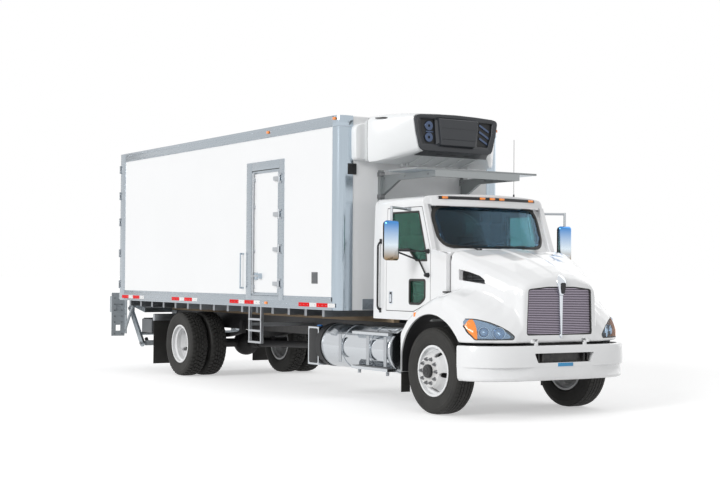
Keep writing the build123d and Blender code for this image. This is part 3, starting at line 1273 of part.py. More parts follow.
carrier_half = lift_arm_y - lift_arm_thickness / 2 - lift_side_gap
carrier_ear = 25.0
fold_pin_z = lift_tip_z + 70
with BuildPart() as liftgate_carrier:
    for side in (1, -1):
        ear_y = sorted((side * (carrier_half - carrier_ear), side * carrier_half))
        block((lift_tip_x - 55, lift_tip_x + 45), ear_y, (lift_tip_z - 45, lift_tip_z + 95))
        rod((lift_tip_x, side * (carrier_half - carrier_ear), lift_tip_z),
            (lift_tip_x, side * (lift_arm_y + 30), lift_tip_z), lift_tip_pin)
    rod((lift_tip_x, -carrier_half, fold_pin_z), (lift_tip_x, carrier_half, fold_pin_z), lift_fold_pin)
save(liftgate_carrier.part, "liftgate_carrier")

platform_side = carrier_half - carrier_ear - lift_side_gap
with BuildPart() as liftgate_platform:
    slab = [(lift_tip_x - 30, fold_pin_z + 45), (lift_tip_x + 470, fold_pin_z - 55),
            (lift_tip_x + 455, fold_pin_z - 130), (lift_tip_x - 30, fold_pin_z - 42)]
    side_plate(slab, -platform_side, platform_side)
    rod((lift_tip_x, -carrier_half, fold_pin_z), (lift_tip_x, carrier_half, fold_pin_z),
        lift_fold_pin + pin_fit, mode=Mode.SUBTRACT)
save(liftgate_platform.part, "liftgate_platform")
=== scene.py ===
import bpy
from math import cos, pi, radians, sin
from mathutils import Matrix, Vector


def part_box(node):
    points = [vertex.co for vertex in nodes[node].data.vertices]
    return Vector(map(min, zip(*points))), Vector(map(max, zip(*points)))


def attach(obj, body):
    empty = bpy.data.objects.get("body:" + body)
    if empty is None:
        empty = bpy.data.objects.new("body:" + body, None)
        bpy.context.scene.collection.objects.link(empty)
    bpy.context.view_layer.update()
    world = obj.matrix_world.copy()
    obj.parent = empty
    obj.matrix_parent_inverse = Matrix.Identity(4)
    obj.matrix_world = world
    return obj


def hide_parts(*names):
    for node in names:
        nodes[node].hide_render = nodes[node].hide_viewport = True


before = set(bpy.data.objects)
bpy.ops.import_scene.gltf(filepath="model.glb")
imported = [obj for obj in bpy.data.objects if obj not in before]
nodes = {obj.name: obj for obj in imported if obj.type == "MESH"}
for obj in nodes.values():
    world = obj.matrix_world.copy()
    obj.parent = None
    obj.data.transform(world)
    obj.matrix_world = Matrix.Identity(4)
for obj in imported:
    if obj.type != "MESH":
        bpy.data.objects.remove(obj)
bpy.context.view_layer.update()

# ---------------------------------------------------------------- studio
# A plain pale floor and soft studio light around the truck.
# The floor and the world are white to the eye, and the floor keeps the truck's shadow.


def linear(hex_colour):
    """Turns an sRGB hex colour such as "#C0FFEE" into Blender's linear red, green, blue and alpha."""
    channels = [int(hex_colour[place:place + 2], 16) / 255 for place in (1, 3, 5)]
    return [c / 12.92 if c <= 0.04045 else ((c + 0.055) / 1.055) ** 2.4 for c in channels] + [1.0]


def add_node(material, kind, settings=(), **inputs):
    """Adds one shader node. An input is a value, or what is linked to it: an output, or a node for its first output."""
    made = material.node_tree.nodes.new("ShaderNode" + kind)
    for name, value in dict(settings).items():
        setattr(made, name, value)
    for name, value in inputs.items():
        socket = made.inputs[int(name[1:])] if name[0] == "_" else made.inputs[name.replace("_", " ")]
        if isinstance(value, bpy.types.Node):
            value = next(output for output in value.outputs if output.enabled)
        if isinstance(value, bpy.types.NodeSocket):
            material.node_tree.links.new(value, socket)
        else:
            socket.default_value = value
    return made


def empty_material(name):
    """A node material with no nodes."""
    material = bpy.data.materials.new(name)
    material.use_nodes = True
    material.node_tree.nodes.clear()
    return material


def end_material(material, shader, kind="OutputMaterial"):
    """Joins the last shader to the material's output."""
    add_node(material, kind, Surface=shader)
    return material


def seen_white(material):
    """1 for the camera and for what gloss and glass show, else 0."""
    light = add_node(material, "LightPath").outputs
    seen = add_node(material, "Math", {"operation": "MAXIMUM"}, _0=light["Is Camera Ray"], _1=light["Is Glossy Ray"])
    return add_node(material, "Math", {"operation": "MAXIMUM"}, _0=seen, _1=light["Is Transmission Ray"])


floor_material = empty_material("studio_floor")
floor_lift = add_node(floor_material, "Math", {"operation": "MULTIPLY"}, _0=seen_white(floor_material), _1=0.46)
floor_diffuse = add_node(floor_material, "BsdfDiffuse", Color=linear("#E4E4E4"))
floor_glow = add_node(floor_material, "Emission", Strength=floor_lift)
end_material(floor_material, add_node(floor_material, "AddShader", _0=floor_diffuse, _1=floor_glow))

floor_half = 400.0
bpy.ops.object.select_all(action="DESELECT")
bpy.ops.mesh.primitive_plane_add(size=2 * floor_half)
floor = bpy.context.object
floor.name = "studio_floor"
floor.data.materials.append(floor_material)

world = bpy.data.worlds.new("studio_world")
bpy.context.scene.world = world
world.use_nodes = True
world.node_tree.nodes.clear()
world_strength = add_node(world, "MapRange", Value=seen_white(world), To_Min=0.56, To_Max=1.0)
end_material(world, add_node(world, "Background", Color=(1.0, 1.0, 1.0, 1.0), Strength=world_strength), "OutputWorld")


def add_sun(name, strength, width, towards):
    """A wide sun lamp, for soft shadows. towards is the way its light travels."""
    lamp = bpy.data.lights.new(name, "SUN")
    lamp.energy = strength
    lamp.angle = radians(width)
    holder = bpy.data.objects.new(name, lamp)
    bpy.context.scene.collection.objects.link(holder)
    holder.rotation_euler = Vector(towards).to_track_quat("-Z", "Y").to_euler()


add_sun("key_light", 1.6, 22.0, (-0.4, 1.45, -0.6))
add_sun("fill_light", 0.45, 60.0, (0.2, -0.8, -0.5))

# The camera stands at head height, off the truck's right front corner.
picture_width = 720.0
camera_focal = 1331.2          # this and the two centres are in pixels of the picture's width
camera_centre = (335.65, 252.21)
picture_centre = (360.0, 240.0)
camera_roll = 0.0078
camera_data = bpy.data.cameras.new("camera")
camera_data.sensor_width = 36.0
camera_data.lens = camera_focal / picture_width * camera_data.sensor_width
camera_data.shift_x = (picture_centre[0] - camera_centre[0]) / picture_width
camera_data.shift_y = (camera_centre[1] - picture_centre[1]) / picture_width
camera_data.clip_end = 1000.0
camera = bpy.data.objects.new("camera", camera_data)
bpy.context.scene.collection.objects.link(camera)
camera.location = (16.611, -10.248, 1.597)
camera.rotation_euler = Vector((-0.84821, 0.52937, 0.01755)).to_track_quat("-Z", "Y").to_euler()
camera.rotation_euler.rotate_axis("Z", camera_roll)
bpy.context.scene.camera = camera
bpy.context.scene.view_settings.view_transform = "Standard"

# ---------------------------------------------------------------- chassis frame
# Two pressed steel channels with bolted crossmembers, in black semi-gloss chassis paint.
# The paint is sprayed on: slightly rippled, and dulled by a film of pale road dust.


colour_mix = {"data_type": "RGBA"}
colour_product = {"data_type": "RGBA", "blend_type": "MULTIPLY"}


def start_material(name):
    """A node material with no shader yet, and the place of each point in metres."""
    material = empty_material(name)
    return material, add_node(material, "TexCoord").outputs["Object"]


def painted(name, colour, roughness, coat=0.0, dust_top=0.9, dust_most=0.5, inside=(), trim_and_shade_colour=None):
    """Sprayed paint with an orange-peel ripple, and road dust that thins out up to dust_top, in metres.

    inside is a list of boxes, each as two corners, in which the surface takes a dark colour instead: real trim in the
    cab, a black pump box, and painted shade on the cab front behind the windshield."""
    material, place = start_material(name)
    clouds = add_node(material, "TexNoise", Vector=place, Scale=1.7, Detail=3.0)
    tone = add_node(material, "MapRange", Value=clouds, To_Min=0.96, To_Max=1.03)
    body = add_node(material, "Mix", colour_product, _0=1.0, _6=linear(colour), _7=tone)
    height = add_node(material, "SeparateXYZ", Vector=place).outputs["Z"]
    low_down = add_node(material, "MapRange", Value=height, From_Min=dust_top, From_Max=0.25, To_Min=0.0,
                        To_Max=dust_most)
    specks = add_node(material, "TexNoise", Vector=place, Scale=14.0, Detail=6.0, Roughness=0.7)
    patch = add_node(material, "MapRange", Value=specks, From_Min=0.35, From_Max=0.7)
    dusty = add_node(material, "Math", {"operation": "MULTIPLY"}, _0=low_down, _1=patch)
    shown = add_node(material, "Mix", colour_mix, _0=dusty, _6=body, _7=linear("#8A8378"))
    rough = add_node(material, "Math", {"operation": "MULTIPLY_ADD"}, _0=dusty, _1=0.5, _2=roughness)
    for box in inside:
        within = inside_box(material, place, *box)
        shown = add_node(material, "Mix", colour_mix, _0=within, _6=shown, _7=linear(trim_and_shade_colour))
        rough = add_node(material, "Mix", {"data_type": "FLOAT"}, _0=within, _2=rough, _3=0.75)
    peel = add_node(material, "TexNoise", Vector=place, Scale=120.0, Detail=1.0)
    bump = add_node(material, "Bump", Height=peel, Strength=0.35, Distance=0.0004)
    shader = add_node(material, "BsdfPrincipled", Base_Color=shown, Roughness=rough, Coat_Weight=coat,
                      Coat_Roughness=0.04, Normal=bump)
    return end_material(material, shader)


def inside_box(material, place, low, high):
    """1 where a point is inside the box between two corners, else 0."""
    parts = add_node(material, "SeparateXYZ", Vector=place).outputs
    result = 1.0
    for axis, least, most in zip("XYZ", low, high):
        within = add_node(material, "Math", {"operation": "COMPARE"}, _0=parts[axis], _1=(least + most) / 2,
                          _2=(most - least) / 2)
        result = add_node(material, "Math", {"operation": "MULTIPLY"}, _0=result, _1=within)
    return result


def dress(node_names, material):
    """Gives CAD nodes their material."""
    for name in node_names:
        mesh = nodes[name].data
        mesh.materials.clear()
        mesh.materials.append(material)


chassis_paint = painted("chassis_enamel_black", "#15161A", 0.38, dust_top=1.1, dust_most=0.35)
dress(["frame_rails", "frame_crossmembers"], chassis_paint)

# ---------------------------------------------------------------- axles, springs, driveline and engine
# Cast and forged iron under thin black paint. The sand-cast skin is pebbled and dull.
# The leaf springs are clamped to the axles, and the engine block is painted a dark grey.


def cast_iron(name, colour, rust):
    """Painted cast iron: a pebbled skin of fine grit, with rust where the paint is thin."""
    material, place = start_material(name)
    grit = add_node(material, "TexNoise", Vector=place, Scale=160.0, Detail=4.0)
    worn = add_node(material, "TexNoise", Vector=place, Scale=9.0, Detail=8.0, Roughness=0.75)
    bare = add_node(material, "MapRange", Value=worn, From_Min=0.55, From_Max=0.75, To_Max=0.6)
    shown = add_node(material, "Mix", colour_mix, _0=bare, _6=linear(colour), _7=linear(rust))
    bump = add_node(material, "Bump", Height=grit, Strength=0.5, Distance=0.002)
    return end_material(material, add_node(material, "BsdfPrincipled", Base_Color=shown, Roughness=0.62, Normal=bump))


iron_paint = cast_iron("cast_iron_painted_black", "#1B1B1D", "#3A322B")
dress(["front_axle", "rear_axle", "leaf_springs", "driveline", "knuckle_left", "knuckle_right"], iron_paint)
engine_paint = cast_iron("cast_iron_engine_grey", "#34363A", "#2A2622")
dress(["engine_and_radiator"], engine_paint)

# ---------------------------------------------------------------- tyres
# Radial truck tyres of black rubber, greyed by dust. Steer tyres have straight ribs and the driven
# pairs have deep cross lugs. They are moulded, so the sidewalls carry fine rings.


def rubber(name, colour, grain, roughness=0.72):
    """Moulded rubber: near black, with a fine matt grain and a dusty bloom."""
    material, place = start_material(name)
    bloom = add_node(material, "TexNoise", Vector=place, Scale=6.0, Detail=5.0)
    tint = add_node(material, "Mix", colour_mix, _0=bloom, _6=linear(colour), _7=linear("#33322F"))
    fine = add_node(material, "TexNoise", Vector=place, Scale=grain, Detail=3.0)
    bump = add_node(material, "Bump", Height=fine, Strength=0.3, Distance=0.001)
    shader = add_node(material, "BsdfPrincipled", Base_Color=tint, Roughness=roughness, Normal=bump)
    return end_material(material, shader)


tyre_rubber = rubber("tyre_rubber_black", "#141414", 220.0)


def deselect():
    """Nothing is left selected, so the next operator works on new pieces alone."""
    bpy.ops.object.select_all(action="DESELECT")


def only(piece):
    """Leaves one piece selected and active, for the next operator."""
    deselect()
    piece.select_set(True)
    bpy.context.view_layer.objects.active = piece
    return piece


def shade(piece, angle):
    """Smooths a piece's shading, but keeps a crease where faces meet at more than an angle."""
    only(piece)
    bpy.ops.object.shade_smooth_by_angle(angle=radians(angle))
    return piece


def edit(*steps):
    """Runs steps in edit mode, each on all of the active piece, and then turns its faces outwards."""
    bpy.ops.object.mode_set(mode="EDIT")
    for step in steps:
        bpy.ops.mesh.select_all(action="SELECT")
        step()
    bpy.ops.mesh.select_all(action="SELECT")
    bpy.ops.mesh.normals_make_consistent(inside=False)
    bpy.ops.object.mode_set(mode="OBJECT")


def modify(piece, kind, **settings):
    """Applies one modifier to a piece."""
    only(piece)
    modifier = piece.modifiers.new("modifier", kind)
    for name, value in settings.items():
        setattr(modifier, name, value)
    bpy.ops.object.modifier_apply(modifier=modifier.name)
    return piece


def join(pieces):
    """Joins pieces into the first of them."""
    deselect()
    for piece in pieces:
        piece.select_set(True)
    bpy.context.view_layer.objects.active = pieces[0]
    if len(pieces) > 1:
        bpy.ops.object.join()
    return bpy.context.view_layer.objects.active


def finish(pieces, name, material, body="chassis"):
    """Makes one named piece of a new piece or a list of them, gives it its material and lets it ride on a body."""
    piece = only(join(pieces) if isinstance(pieces, list) else pieces)
    bpy.ops.object.transform_apply()
    piece.name = name
    piece.data.materials.clear()
    piece.data.materials.append(material)
    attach(piece, body)
    return piece


def turned(profile, steps, smooth=40.0):
    """Spins a closed outline of (radius, out) points about the Y axis, as on a lathe."""
    deselect()
    bpy.ops.mesh.primitive_circle_add(vertices=len(profile), radius=1.0, fill_type="NGON")
    piece = bpy.context.object
    for vertex, (radius, out) in zip(piece.data.vertices, profile):
        vertex.co = (0.0, out, radius)
    edit(lambda: bpy.ops.mesh.delete(type="ONLY_FACE"),
         lambda: bpy.ops.mesh.spin(steps=steps, angle=2 * pi, center=(0, 0, 0), axis=(0, 1, 0)),
         lambda: bpy.ops.mesh.remove_doubles(threshold=0.00002))
    return shade(piece, smooth)


def put(piece, place):
    """Moves a new piece's mesh by a matrix, and turns its faces back out where the matrix mirrors it."""
    piece.data.transform(place)
    if place.determinant() < 0:
        piece.data.flip_normals()
    return piece


def repeat(pattern, places):
    """Copies a finished pattern to each place, a Matrix, joins the copies into one piece, and drops the pattern."""
    deselect()
    copies = []
    for place in places:
        twin = bpy.data.objects.new(pattern.name, pattern.data.copy())
        put(twin, place)
        bpy.context.scene.collection.objects.link(twin)
        twin.select_set(True)
        copies.append(twin)
    bpy.data.objects.remove(pattern)
    bpy.context.view_layer.objects.active = copies[0]
    if len(copies) > 1:
        bpy.ops.object.join()
    return bpy.context.view_layer.objects.active


def at(x, y, z):
    """A place, as a matrix."""
    return Matrix.Translation((x, y, z))


def shape(piece, bevel, smooth=35.0, segments=2):
    """Rounds a new piece's edges with an applied bevel, and smooths its shading."""
    if bevel > 0:
        modify(piece, "BEVEL", width=bevel, segments=segments, limit_method="ANGLE", harden_normals=False)
    return shade(piece, smooth)


def prism(outline, axis, low, high, bevel=0.0):
    """Extrudes an outline along X, Y or Z. Its points are (y, z), (x, z) or (x, y)."""
    deselect()
    bpy.ops.mesh.primitive_circle_add(vertices=len(outline), radius=1.0, fill_type="NGON")
    piece = bpy.context.object
    along = "XYZ".index(axis)
    for vertex, point in zip(piece.data.vertices, outline):
        vertex.co = point[:along] + (low,) + point[along:]
    travel = [high - low if place == along else 0 for place in range(3)]
    edit(lambda: bpy.ops.mesh.extrude_region_move(TRANSFORM_OT_translate={"value": travel}))
    return shape(piece, bevel)


def bar(low, high, bevel=0.002, segments=2):
    """A squared bar between two corners, with its edges rounded."""
    deselect()
    middle = [(a + b) / 2 for a, b in zip(low, high)]
    bpy.ops.mesh.primitive_cube_add(size=1.0, location=middle)
    piece = bpy.context.object
    piece.scale = [abs(b - a) for a, b in zip(low, high)]
    bpy.ops.object.transform_apply()
    return shape(piece, bevel, segments=segments)


def around_axle(count, turn=0.0, shift=0.0):
    """Places round the Y axis, with a turn of part of a pitch and a shift along the axle."""
    return [at(0, shift, 0) @ Matrix.Rotation(2 * pi * (step + turn) / count, 4, "Y") for step in range(count)]


# Carcass outline in metres: radius, and distance out from the tyre's middle plane.
tread_floor = 0.487
tread_crown = 0.5024
sidewall = [(0.2863, 0.098), (0.2988, 0.1045), (0.306, 0.1195), (0.322, 0.1255), (0.325, 0.1285), (0.331, 0.1285),
            (0.334, 0.1265), (0.352, 0.1325), (0.385, 0.1375), (0.415, 0.1392), (0.432, 0.139), (0.434, 0.1398),
            (0.438, 0.1398), (0.44, 0.1385), (0.462, 0.1345), (0.476, 0.128), (0.484, 0.116), (tread_floor, 0.1)]
carcass_outline = sidewall + [(radius, -out) for radius, out in reversed(sidewall)]
# One row per tread column: inner and outer edge, drop of the outer edge, share of the pitch, turn of the pattern
rib_columns = [(-0.021, 0.021, 0.0, 0.97, 0.0), (0.029, 0.06, 0.0, 0.96, 0.25), (0.068, 0.116, 0.0075, 0.94, 0.5)]
lug_columns = [(-0.016, 0.016, 0.0, 0.78, 0.0), (0.026, 0.058, 0.0, 0.74, 0.35), (0.068, 0.122, 0.011, 0.6, 0.75)]


def tyre(columns, pitches):
    """A tyre about the Y axis: a turned carcass, with tread blocks set round it in columns."""
    pieces = [turned(carcass_outline, 96)]
    pitch = 2 * pi * tread_crown / pitches
    for inner, outer, drop, share, turn in columns:
        for side in ((1,) if inner < 0 else (1, -1)):
            root = tread_floor - 0.004
            outline = [(side * inner, root), (side * outer, root - drop), (side * outer, tread_crown - drop),
                       (side * inner, tread_crown)]
            block = prism(outline, "X", -pitch * share / 2, pitch * share / 2, 0.0016)
            pieces.append(repeat(block, around_axle(pitches, turn + (0.5 if side < 0 else 0.0))))
    return join(pieces)


front_tyre_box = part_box("front_tyre_left")
axle_x = (front_tyre_box[0].x + front_tyre_box[1].x) / 2
front_track_half = (front_tyre_box[0].y + front_tyre_box[1].y) / 2
axle_z = (front_tyre_box[0].z + front_tyre_box[1].z) / 2
rear_tyre_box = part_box("rear_tyres_left")
rear_axle_x = (rear_tyre_box[0].x + rear_tyre_box[1].x) / 2
rear_dual_half = (rear_tyre_box[0].y + rear_tyre_box[1].y) / 2
dual_offset = (rear_tyre_box[1].y - rear_tyre_box[0].y) / 2 - 0.14
sides = ((1, "left"), (-1, "right"))

for side, side_name in sides:
    front_tyre = put(tyre(rib_columns, 54), at(axle_x, side * front_track_half, axle_z))
    finish(front_tyre, f"steer_tyre_{side_name}", tyre_rubber, f"front_wheel_body_{side_name}")
    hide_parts(f"front_tyre_{side_name}")
    pair = [put(tyre(lug_columns, 44), at(rear_axle_x, side * rear_dual_half + shift, axle_z))
            for shift in (dual_offset, -dual_offset)]
    rear_tyres = finish(pair, f"drive_tyres_{side_name}", tyre_rubber, f"rear_dual_{side_name}")
    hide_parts(f"rear_tyres_{side_name}")

# ---------------------------------------------------------------- wheels, nuts and hubs
# Steel disc wheels in white powder coat, held by ten flanged nuts on long studs.
# Brake dust greys the dish, and the steer axle has a black oil-filled hub.


def wheel_enamel(name, centre_x, colour, grime):
    """White powder coat, with brown-grey brake dust gathered towards the hub and in the hand holes."""
    material, place = start_material(name)
    parts = add_node(material, "SeparateXYZ", Vector=place).outputs
    flat = add_node(material, "CombineXYZ", X=parts["X"], Z=parts["Z"])
    reach = add_node(material, "VectorMath", {"operation": "DISTANCE"}, _0=flat, _1=(centre_x, 0.0, axle_z))
    near_hub = add_node(material, "MapRange", Value=reach.outputs["Value"], From_Min=0.26, From_Max=0.11, To_Max=0.55)
    spread = add_node(material, "TexNoise", Vector=place, Scale=22.0, Detail=6.0)
    grimy = add_node(material, "Math", {"operation": "MULTIPLY"}, _0=near_hub, _1=spread)
    shown = add_node(material, "Mix", colour_mix, _0=grimy, _6=linear(colour), _7=linear(grime))
    peel = add_node(material, "TexNoise", Vector=place, Scale=260.0, Detail=1.0)
    bump = add_node(material, "Bump", Height=peel, Strength=0.3, Distance=0.0005)
    shader = add_node(material, "BsdfPrincipled", Base_Color=shown, Roughness=0.28, Coat_Weight=0.3, Normal=bump)
    return end_material(material, shader)


front_enamel = wheel_enamel("powder_coat_white_front", axle_x, "#E9EAEB", "#8E8577")
rear_enamel = wheel_enamel("powder_coat_white_rear", rear_axle_x, "#E4E5E6", "#857C6E")
dress(["front_wheel_left", "front_wheel_right"], front_enamel)
dress(["rear_wheels_left", "rear_wheels_right"], rear_enamel)


def metal(name, colour, roughness, streak=(1.0, 1.0, 1.0), scale=60.0, spread=0.08, bump_mm=0.05, tint=0.06):
    """Bare metal whose polish or brushing shows as stretched noise in tone, roughness and bump.

    streak stretches the pattern along X, Y and Z; scale is in patterns a metre."""
    material, place = start_material(name)
    lay = add_node(material, "Mapping", Vector=place, Scale=streak)
    grain = add_node(material, "TexNoise", Vector=lay, Scale=scale, Detail=4.0)
    tone = add_node(material, "MapRange", Value=grain, To_Min=1.0 - tint, To_Max=1.0 + tint)
    shown = add_node(material, "Mix", colour_product, _0=1.0, _6=linear(colour), _7=tone)
    rough = add_node(material, "MapRange", Value=grain, To_Min=max(0.02, roughness - spread), To_Max=roughness + spread)
    bump = add_node(material, "Bump", Height=grain, Strength=0.4, Distance=bump_mm / 1000)
    shader = add_node(material, "BsdfPrincipled", Base_Color=shown, Metallic=1.0, Roughness=rough, Normal=bump)
    return end_material(material, shader)


def moulded(name, colour, roughness=0.45, grain=240.0, depth_mm=0.25, coat=0.0):
    """Moulded plastic with a fine pebble grain, slightly uneven in tone."""
    material, place = start_material(name)
    clouds = add_node(material, "TexNoise", Vector=place, Scale=4.0, Detail=3.0)
    tone = add_node(material, "MapRange", Value=clouds, To_Min=0.93, To_Max=1.07)
    shown = add_node(material, "Mix", colour_product, _0=1.0, _6=linear(colour), _7=tone)
    pebble = add_node(material, "TexVoronoi", Vector=place, Scale=grain)
    bump = add_node(material, "Bump", Height=pebble, Strength=0.35, Distance=depth_mm / 1000)
    shader = add_node(material, "BsdfPrincipled", Base_Color=shown, Roughness=roughness, Coat_Weight=coat, Normal=bump)
    return end_material(material, shader)


zinc_nut = metal("zinc_plated_steel_nut", "#8B8C8E", 0.34, scale=300.0)
hub_black = moulded("hub_cap_black_enamel", "#101113", 0.3, coat=0.4)
nut_count = 10
nut_circle = 0.1429            # hub-piloted wheels share this bolt circle
wheel_face_out = 0.168


def wheel_nuts():
    """Ten flanged hexagon nuts on studs about the Y axis, standing on the plane y = 0."""
    flange = turned([(0.0, 0.0), (0.0235, 0.0), (0.0235, 0.004), (0.019, 0.008), (0.0, 0.008)], 24)
    deselect()
    bpy.ops.mesh.primitive_cylinder_add(vertices=6, radius=0.019, depth=0.022, location=(0, 0.018, 0),
                                        rotation=(pi / 2, 0, 0))
    hexagon = bpy.context.object
    bpy.ops.object.transform_apply()
    shape(hexagon, 0.0018)
    stud = turned([(0.0, 0.02), (0.0105, 0.02), (0.0105, 0.04), (0.0085, 0.043), (0.0, 0.043)], 20)
    nut = put(join([hexagon, flange, stud]), at(0, 0, nut_circle))
    return repeat(nut, around_axle(nut_count, 0.5))


front_hub_outline = [(0.0, 0.164), (0.079, 0.164), (0.079, 0.198), (0.076, 0.205), (0.068, 0.2145), (0.05, 0.2155),
                     (0.046, 0.222), (0.036, 0.2235), (0.033, 0.219), (0.012, 0.219), (0.01, 0.2245), (0.0, 0.2245)]
for side, side_name in sides:
    outward = Matrix.Scale(side, 4, (0, 1, 0))
    nuts = put(wheel_nuts(), at(axle_x, side * (front_track_half + wheel_face_out), axle_z) @ outward)
    finish(nuts, f"steer_wheel_nuts_{side_name}", zinc_nut, f"front_wheel_body_{side_name}")
    hub = turned([(radius, side * (out + 0.0005)) for radius, out in front_hub_outline], 48)
    put(hub, at(axle_x, side * front_track_half, axle_z))
    finish(hub, f"steer_hub_cap_{side_name}", hub_black, f"front_wheel_body_{side_name}")
    nuts = put(wheel_nuts(), at(rear_axle_x, side * (rear_dual_half + 0.012), axle_z) @ outward)
    finish(nuts, f"drive_wheel_nuts_{side_name}", zinc_nut, f"rear_dual_{side_name}")

# ---------------------------------------------------------------- fuel tank and battery box
# Rolled and welded aluminium, polished to a mirror along its length, on strap hangers.
# The steps are grey extruded treads, and the fluid tank behind has a blue cap.
polished_tank = metal("aluminium_polished_rolled", "#C9CDD1", 0.13, streak=(0.3, 14.0, 14.0), scale=9.0, spread=0.05,
                      tint=0.05)
dull_aluminium = metal("aluminium_mill_finish", "#B4B8BC", 0.36, streak=(0.4, 9.0, 9.0), scale=30.0, spread=0.08)
tread_grey = moulded("step_tread_grey_nylon", "#6F7174", 0.5)
blue_cap = moulded("filler_cap_blue_nylon", "#2F6FB4", 0.35, coat=0.3)
dress(["side_tanks"], polished_tank)
dress(["battery_box"], dull_aluminium)
tank_radius = 0.28
tank_y = -0.93
tank_z = 0.69
tank_front_x = axle_x - 0.785
tank_rear_x = axle_x - 2.33
pieces = []
for inset in (0.012, tank_front_x - tank_rear_x - 0.03):
    weld = [(tank_radius - 0.004, 0.0), (tank_radius + 0.004, 0.003), (tank_radius + 0.004, 0.015),
            (tank_radius - 0.004, 0.018)]
    pieces.append(put(turned(weld, 72),
                      at(tank_front_x - inset - 0.018, tank_y, tank_z) @ Matrix.Rotation(-pi / 2, 4, "Z")))
finish(pieces, "fuel_tank_seams", dull_aluminium)
neck = turned([(0.0, 0.0), (0.052, 0.0), (0.052, 0.03), (0.06, 0.032), (0.06, 0.062), (0.052, 0.07), (0.0, 0.072)],
              32)
lean = Matrix.Rotation(radians(48), 4, "X") @ Matrix.Rotation(pi, 4, "Z")
put(neck, at(tank_rear_x + 0.22, tank_y - 0.19, tank_z + 0.19) @ lean)
finish(neck, "fuel_filler_cap", dull_aluminium)
straps = []
for strap_set in (0.83, 1.21, 1.85):
    x = axle_x - strap_set
    straps.append(bar((x - 0.012, tank_y - 0.02, tank_z - tank_radius - 0.055),
                      (x + 0.012, tank_y + 0.02, tank_z - tank_radius - 0.004), 0.003))
    straps.append(bar((x - 0.03, tank_y - tank_radius - 0.022, 0.5),
                      (x + 0.03, tank_y - tank_radius - 0.006, 0.86), 0.006))
finish(straps, "tank_strap_hangers", dull_aluminium)
for side, front_x, rear_x, name in ((-1, tank_front_x, tank_front_x - 0.8, "tank"),
                                    (1, tank_front_x, axle_x - 1.56, "battery")):
    treads = []
    for z, outer, inner in ((0.4755, 1.222, 1.085), (0.9055, 1.212, 1.045)):
        for row in range(5):
            y = side * (inner + (outer - inner) * (row + 0.5) / 5)
            treads.append(bar((rear_x + 0.015, y - 0.008, z - 0.002), (front_x - 0.015, y + 0.008, z + 0.008),
                              0.002, segments=1))
    finish(treads, f"{name}_step_treads", tread_grey)
fluid_low, fluid_high = (axle_x - 2.775, -1.156, 0.415), (axle_x - 2.495, -0.755, 0.926)
fluid_tank = bar(fluid_low, fluid_high, 0.05, segments=4)
fluid_plastic = moulded("fluid_tank_black_polyethylene", "#17181A", 0.5)
finish(fluid_tank, "fluid_tank_shell", fluid_plastic)
cap = turned([(0.0, 0.0), (0.034, 0.0), (0.038, 0.006), (0.038, 0.034), (0.03, 0.04), (0.0, 0.04)], 24)
put(cap, at(axle_x - 2.62, -1.06, 0.905) @ Matrix.Rotation(pi / 2, 4, "X"))
finish(cap, "fluid_tank_cap", blue_cap)
ring = turned([(0.262, -0.055), (0.272, -0.062), (0.284, -0.055), (0.284, 0.055), (0.272, 0.062), (0.262, 0.055)], 72)
put(ring, at(tank_rear_x - 0.095, tank_y, tank_z) @ Matrix.Rotation(pi / 2, 4, "Z"))
finish(ring, "tank_rear_guard_ring", fluid_plastic)
canister = turned([(0.0, -0.07), (0.245, -0.07), (0.258, -0.055), (0.258, 0.055), (0.245, 0.07), (0.0, 0.07)], 64)
put(canister, at(tank_rear_x - 0.095, tank_y, tank_z) @ Matrix.Rotation(pi / 2, 4, "Z"))
finish(canister, "tank_rear_canister", dull_aluminium)

# ---------------------------------------------------------------- mud flaps, sills and side ladder
# Black rubber flaps on bent steel arms, hardwood sills between frame and floor, and a welded
# aluminium ladder under the side door.


def timber(name, colour, dark):
    """Raw hardwood: long grain along X every few millimetres, greyed by weather."""
    material, place = start_material(name)
    lay = add_node(material, "Mapping", Vector=place, Scale=(0.6, 22.0, 22.0))
    grain = add_node(material, "TexNoise", Vector=lay, Scale=6.0, Detail=6.0)
    shown = add_node(material, "Mix", colour_mix, _0=grain, _6=linear(colour), _7=linear(dark))
    bump = add_node(material, "Bump", Height=grain, Strength=0.4, Distance=0.001)
    return end_material(material, add_node(material, "BsdfPrincipled", Base_Color=shown, Roughness=0.75, Normal=bump))


flap_rubber = rubber("flap_rubber_black", "#101011", 90.0, 0.6)
sill_timber = timber("sill_hardwood_raw", "#B7A084", "#7C6A55")
galvanised_ladder = metal("aluminium_ladder_brushed", "#B9BCC0", 0.33, scale=45.0)
dress(["rear_mud_flaps", "front_mud_flaps"], flap_rubber)
dress(["body_sills"], sill_timber)
dress(["side_ladder"], galvanised_ladder)
flap_low, flap_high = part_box("rear_mud_flaps")
for side, side_name in sides:
    plate = bar((flap_low.x - 0.006, side * 0.6, 0.838),
                (flap_high.x + 0.006, side * (flap_high.y + 0.004), 0.95), 0.008)
    finish(plate, f"flap_bracket_{side_name}", dull_aluminium)

# ---------------------------------------------------------------- insulated box panels
# Foam-cored panels skinned in white gel-coated fibreglass, and laid in extruded rails.
# The gel coat is glossy and very slightly wavy over its length.


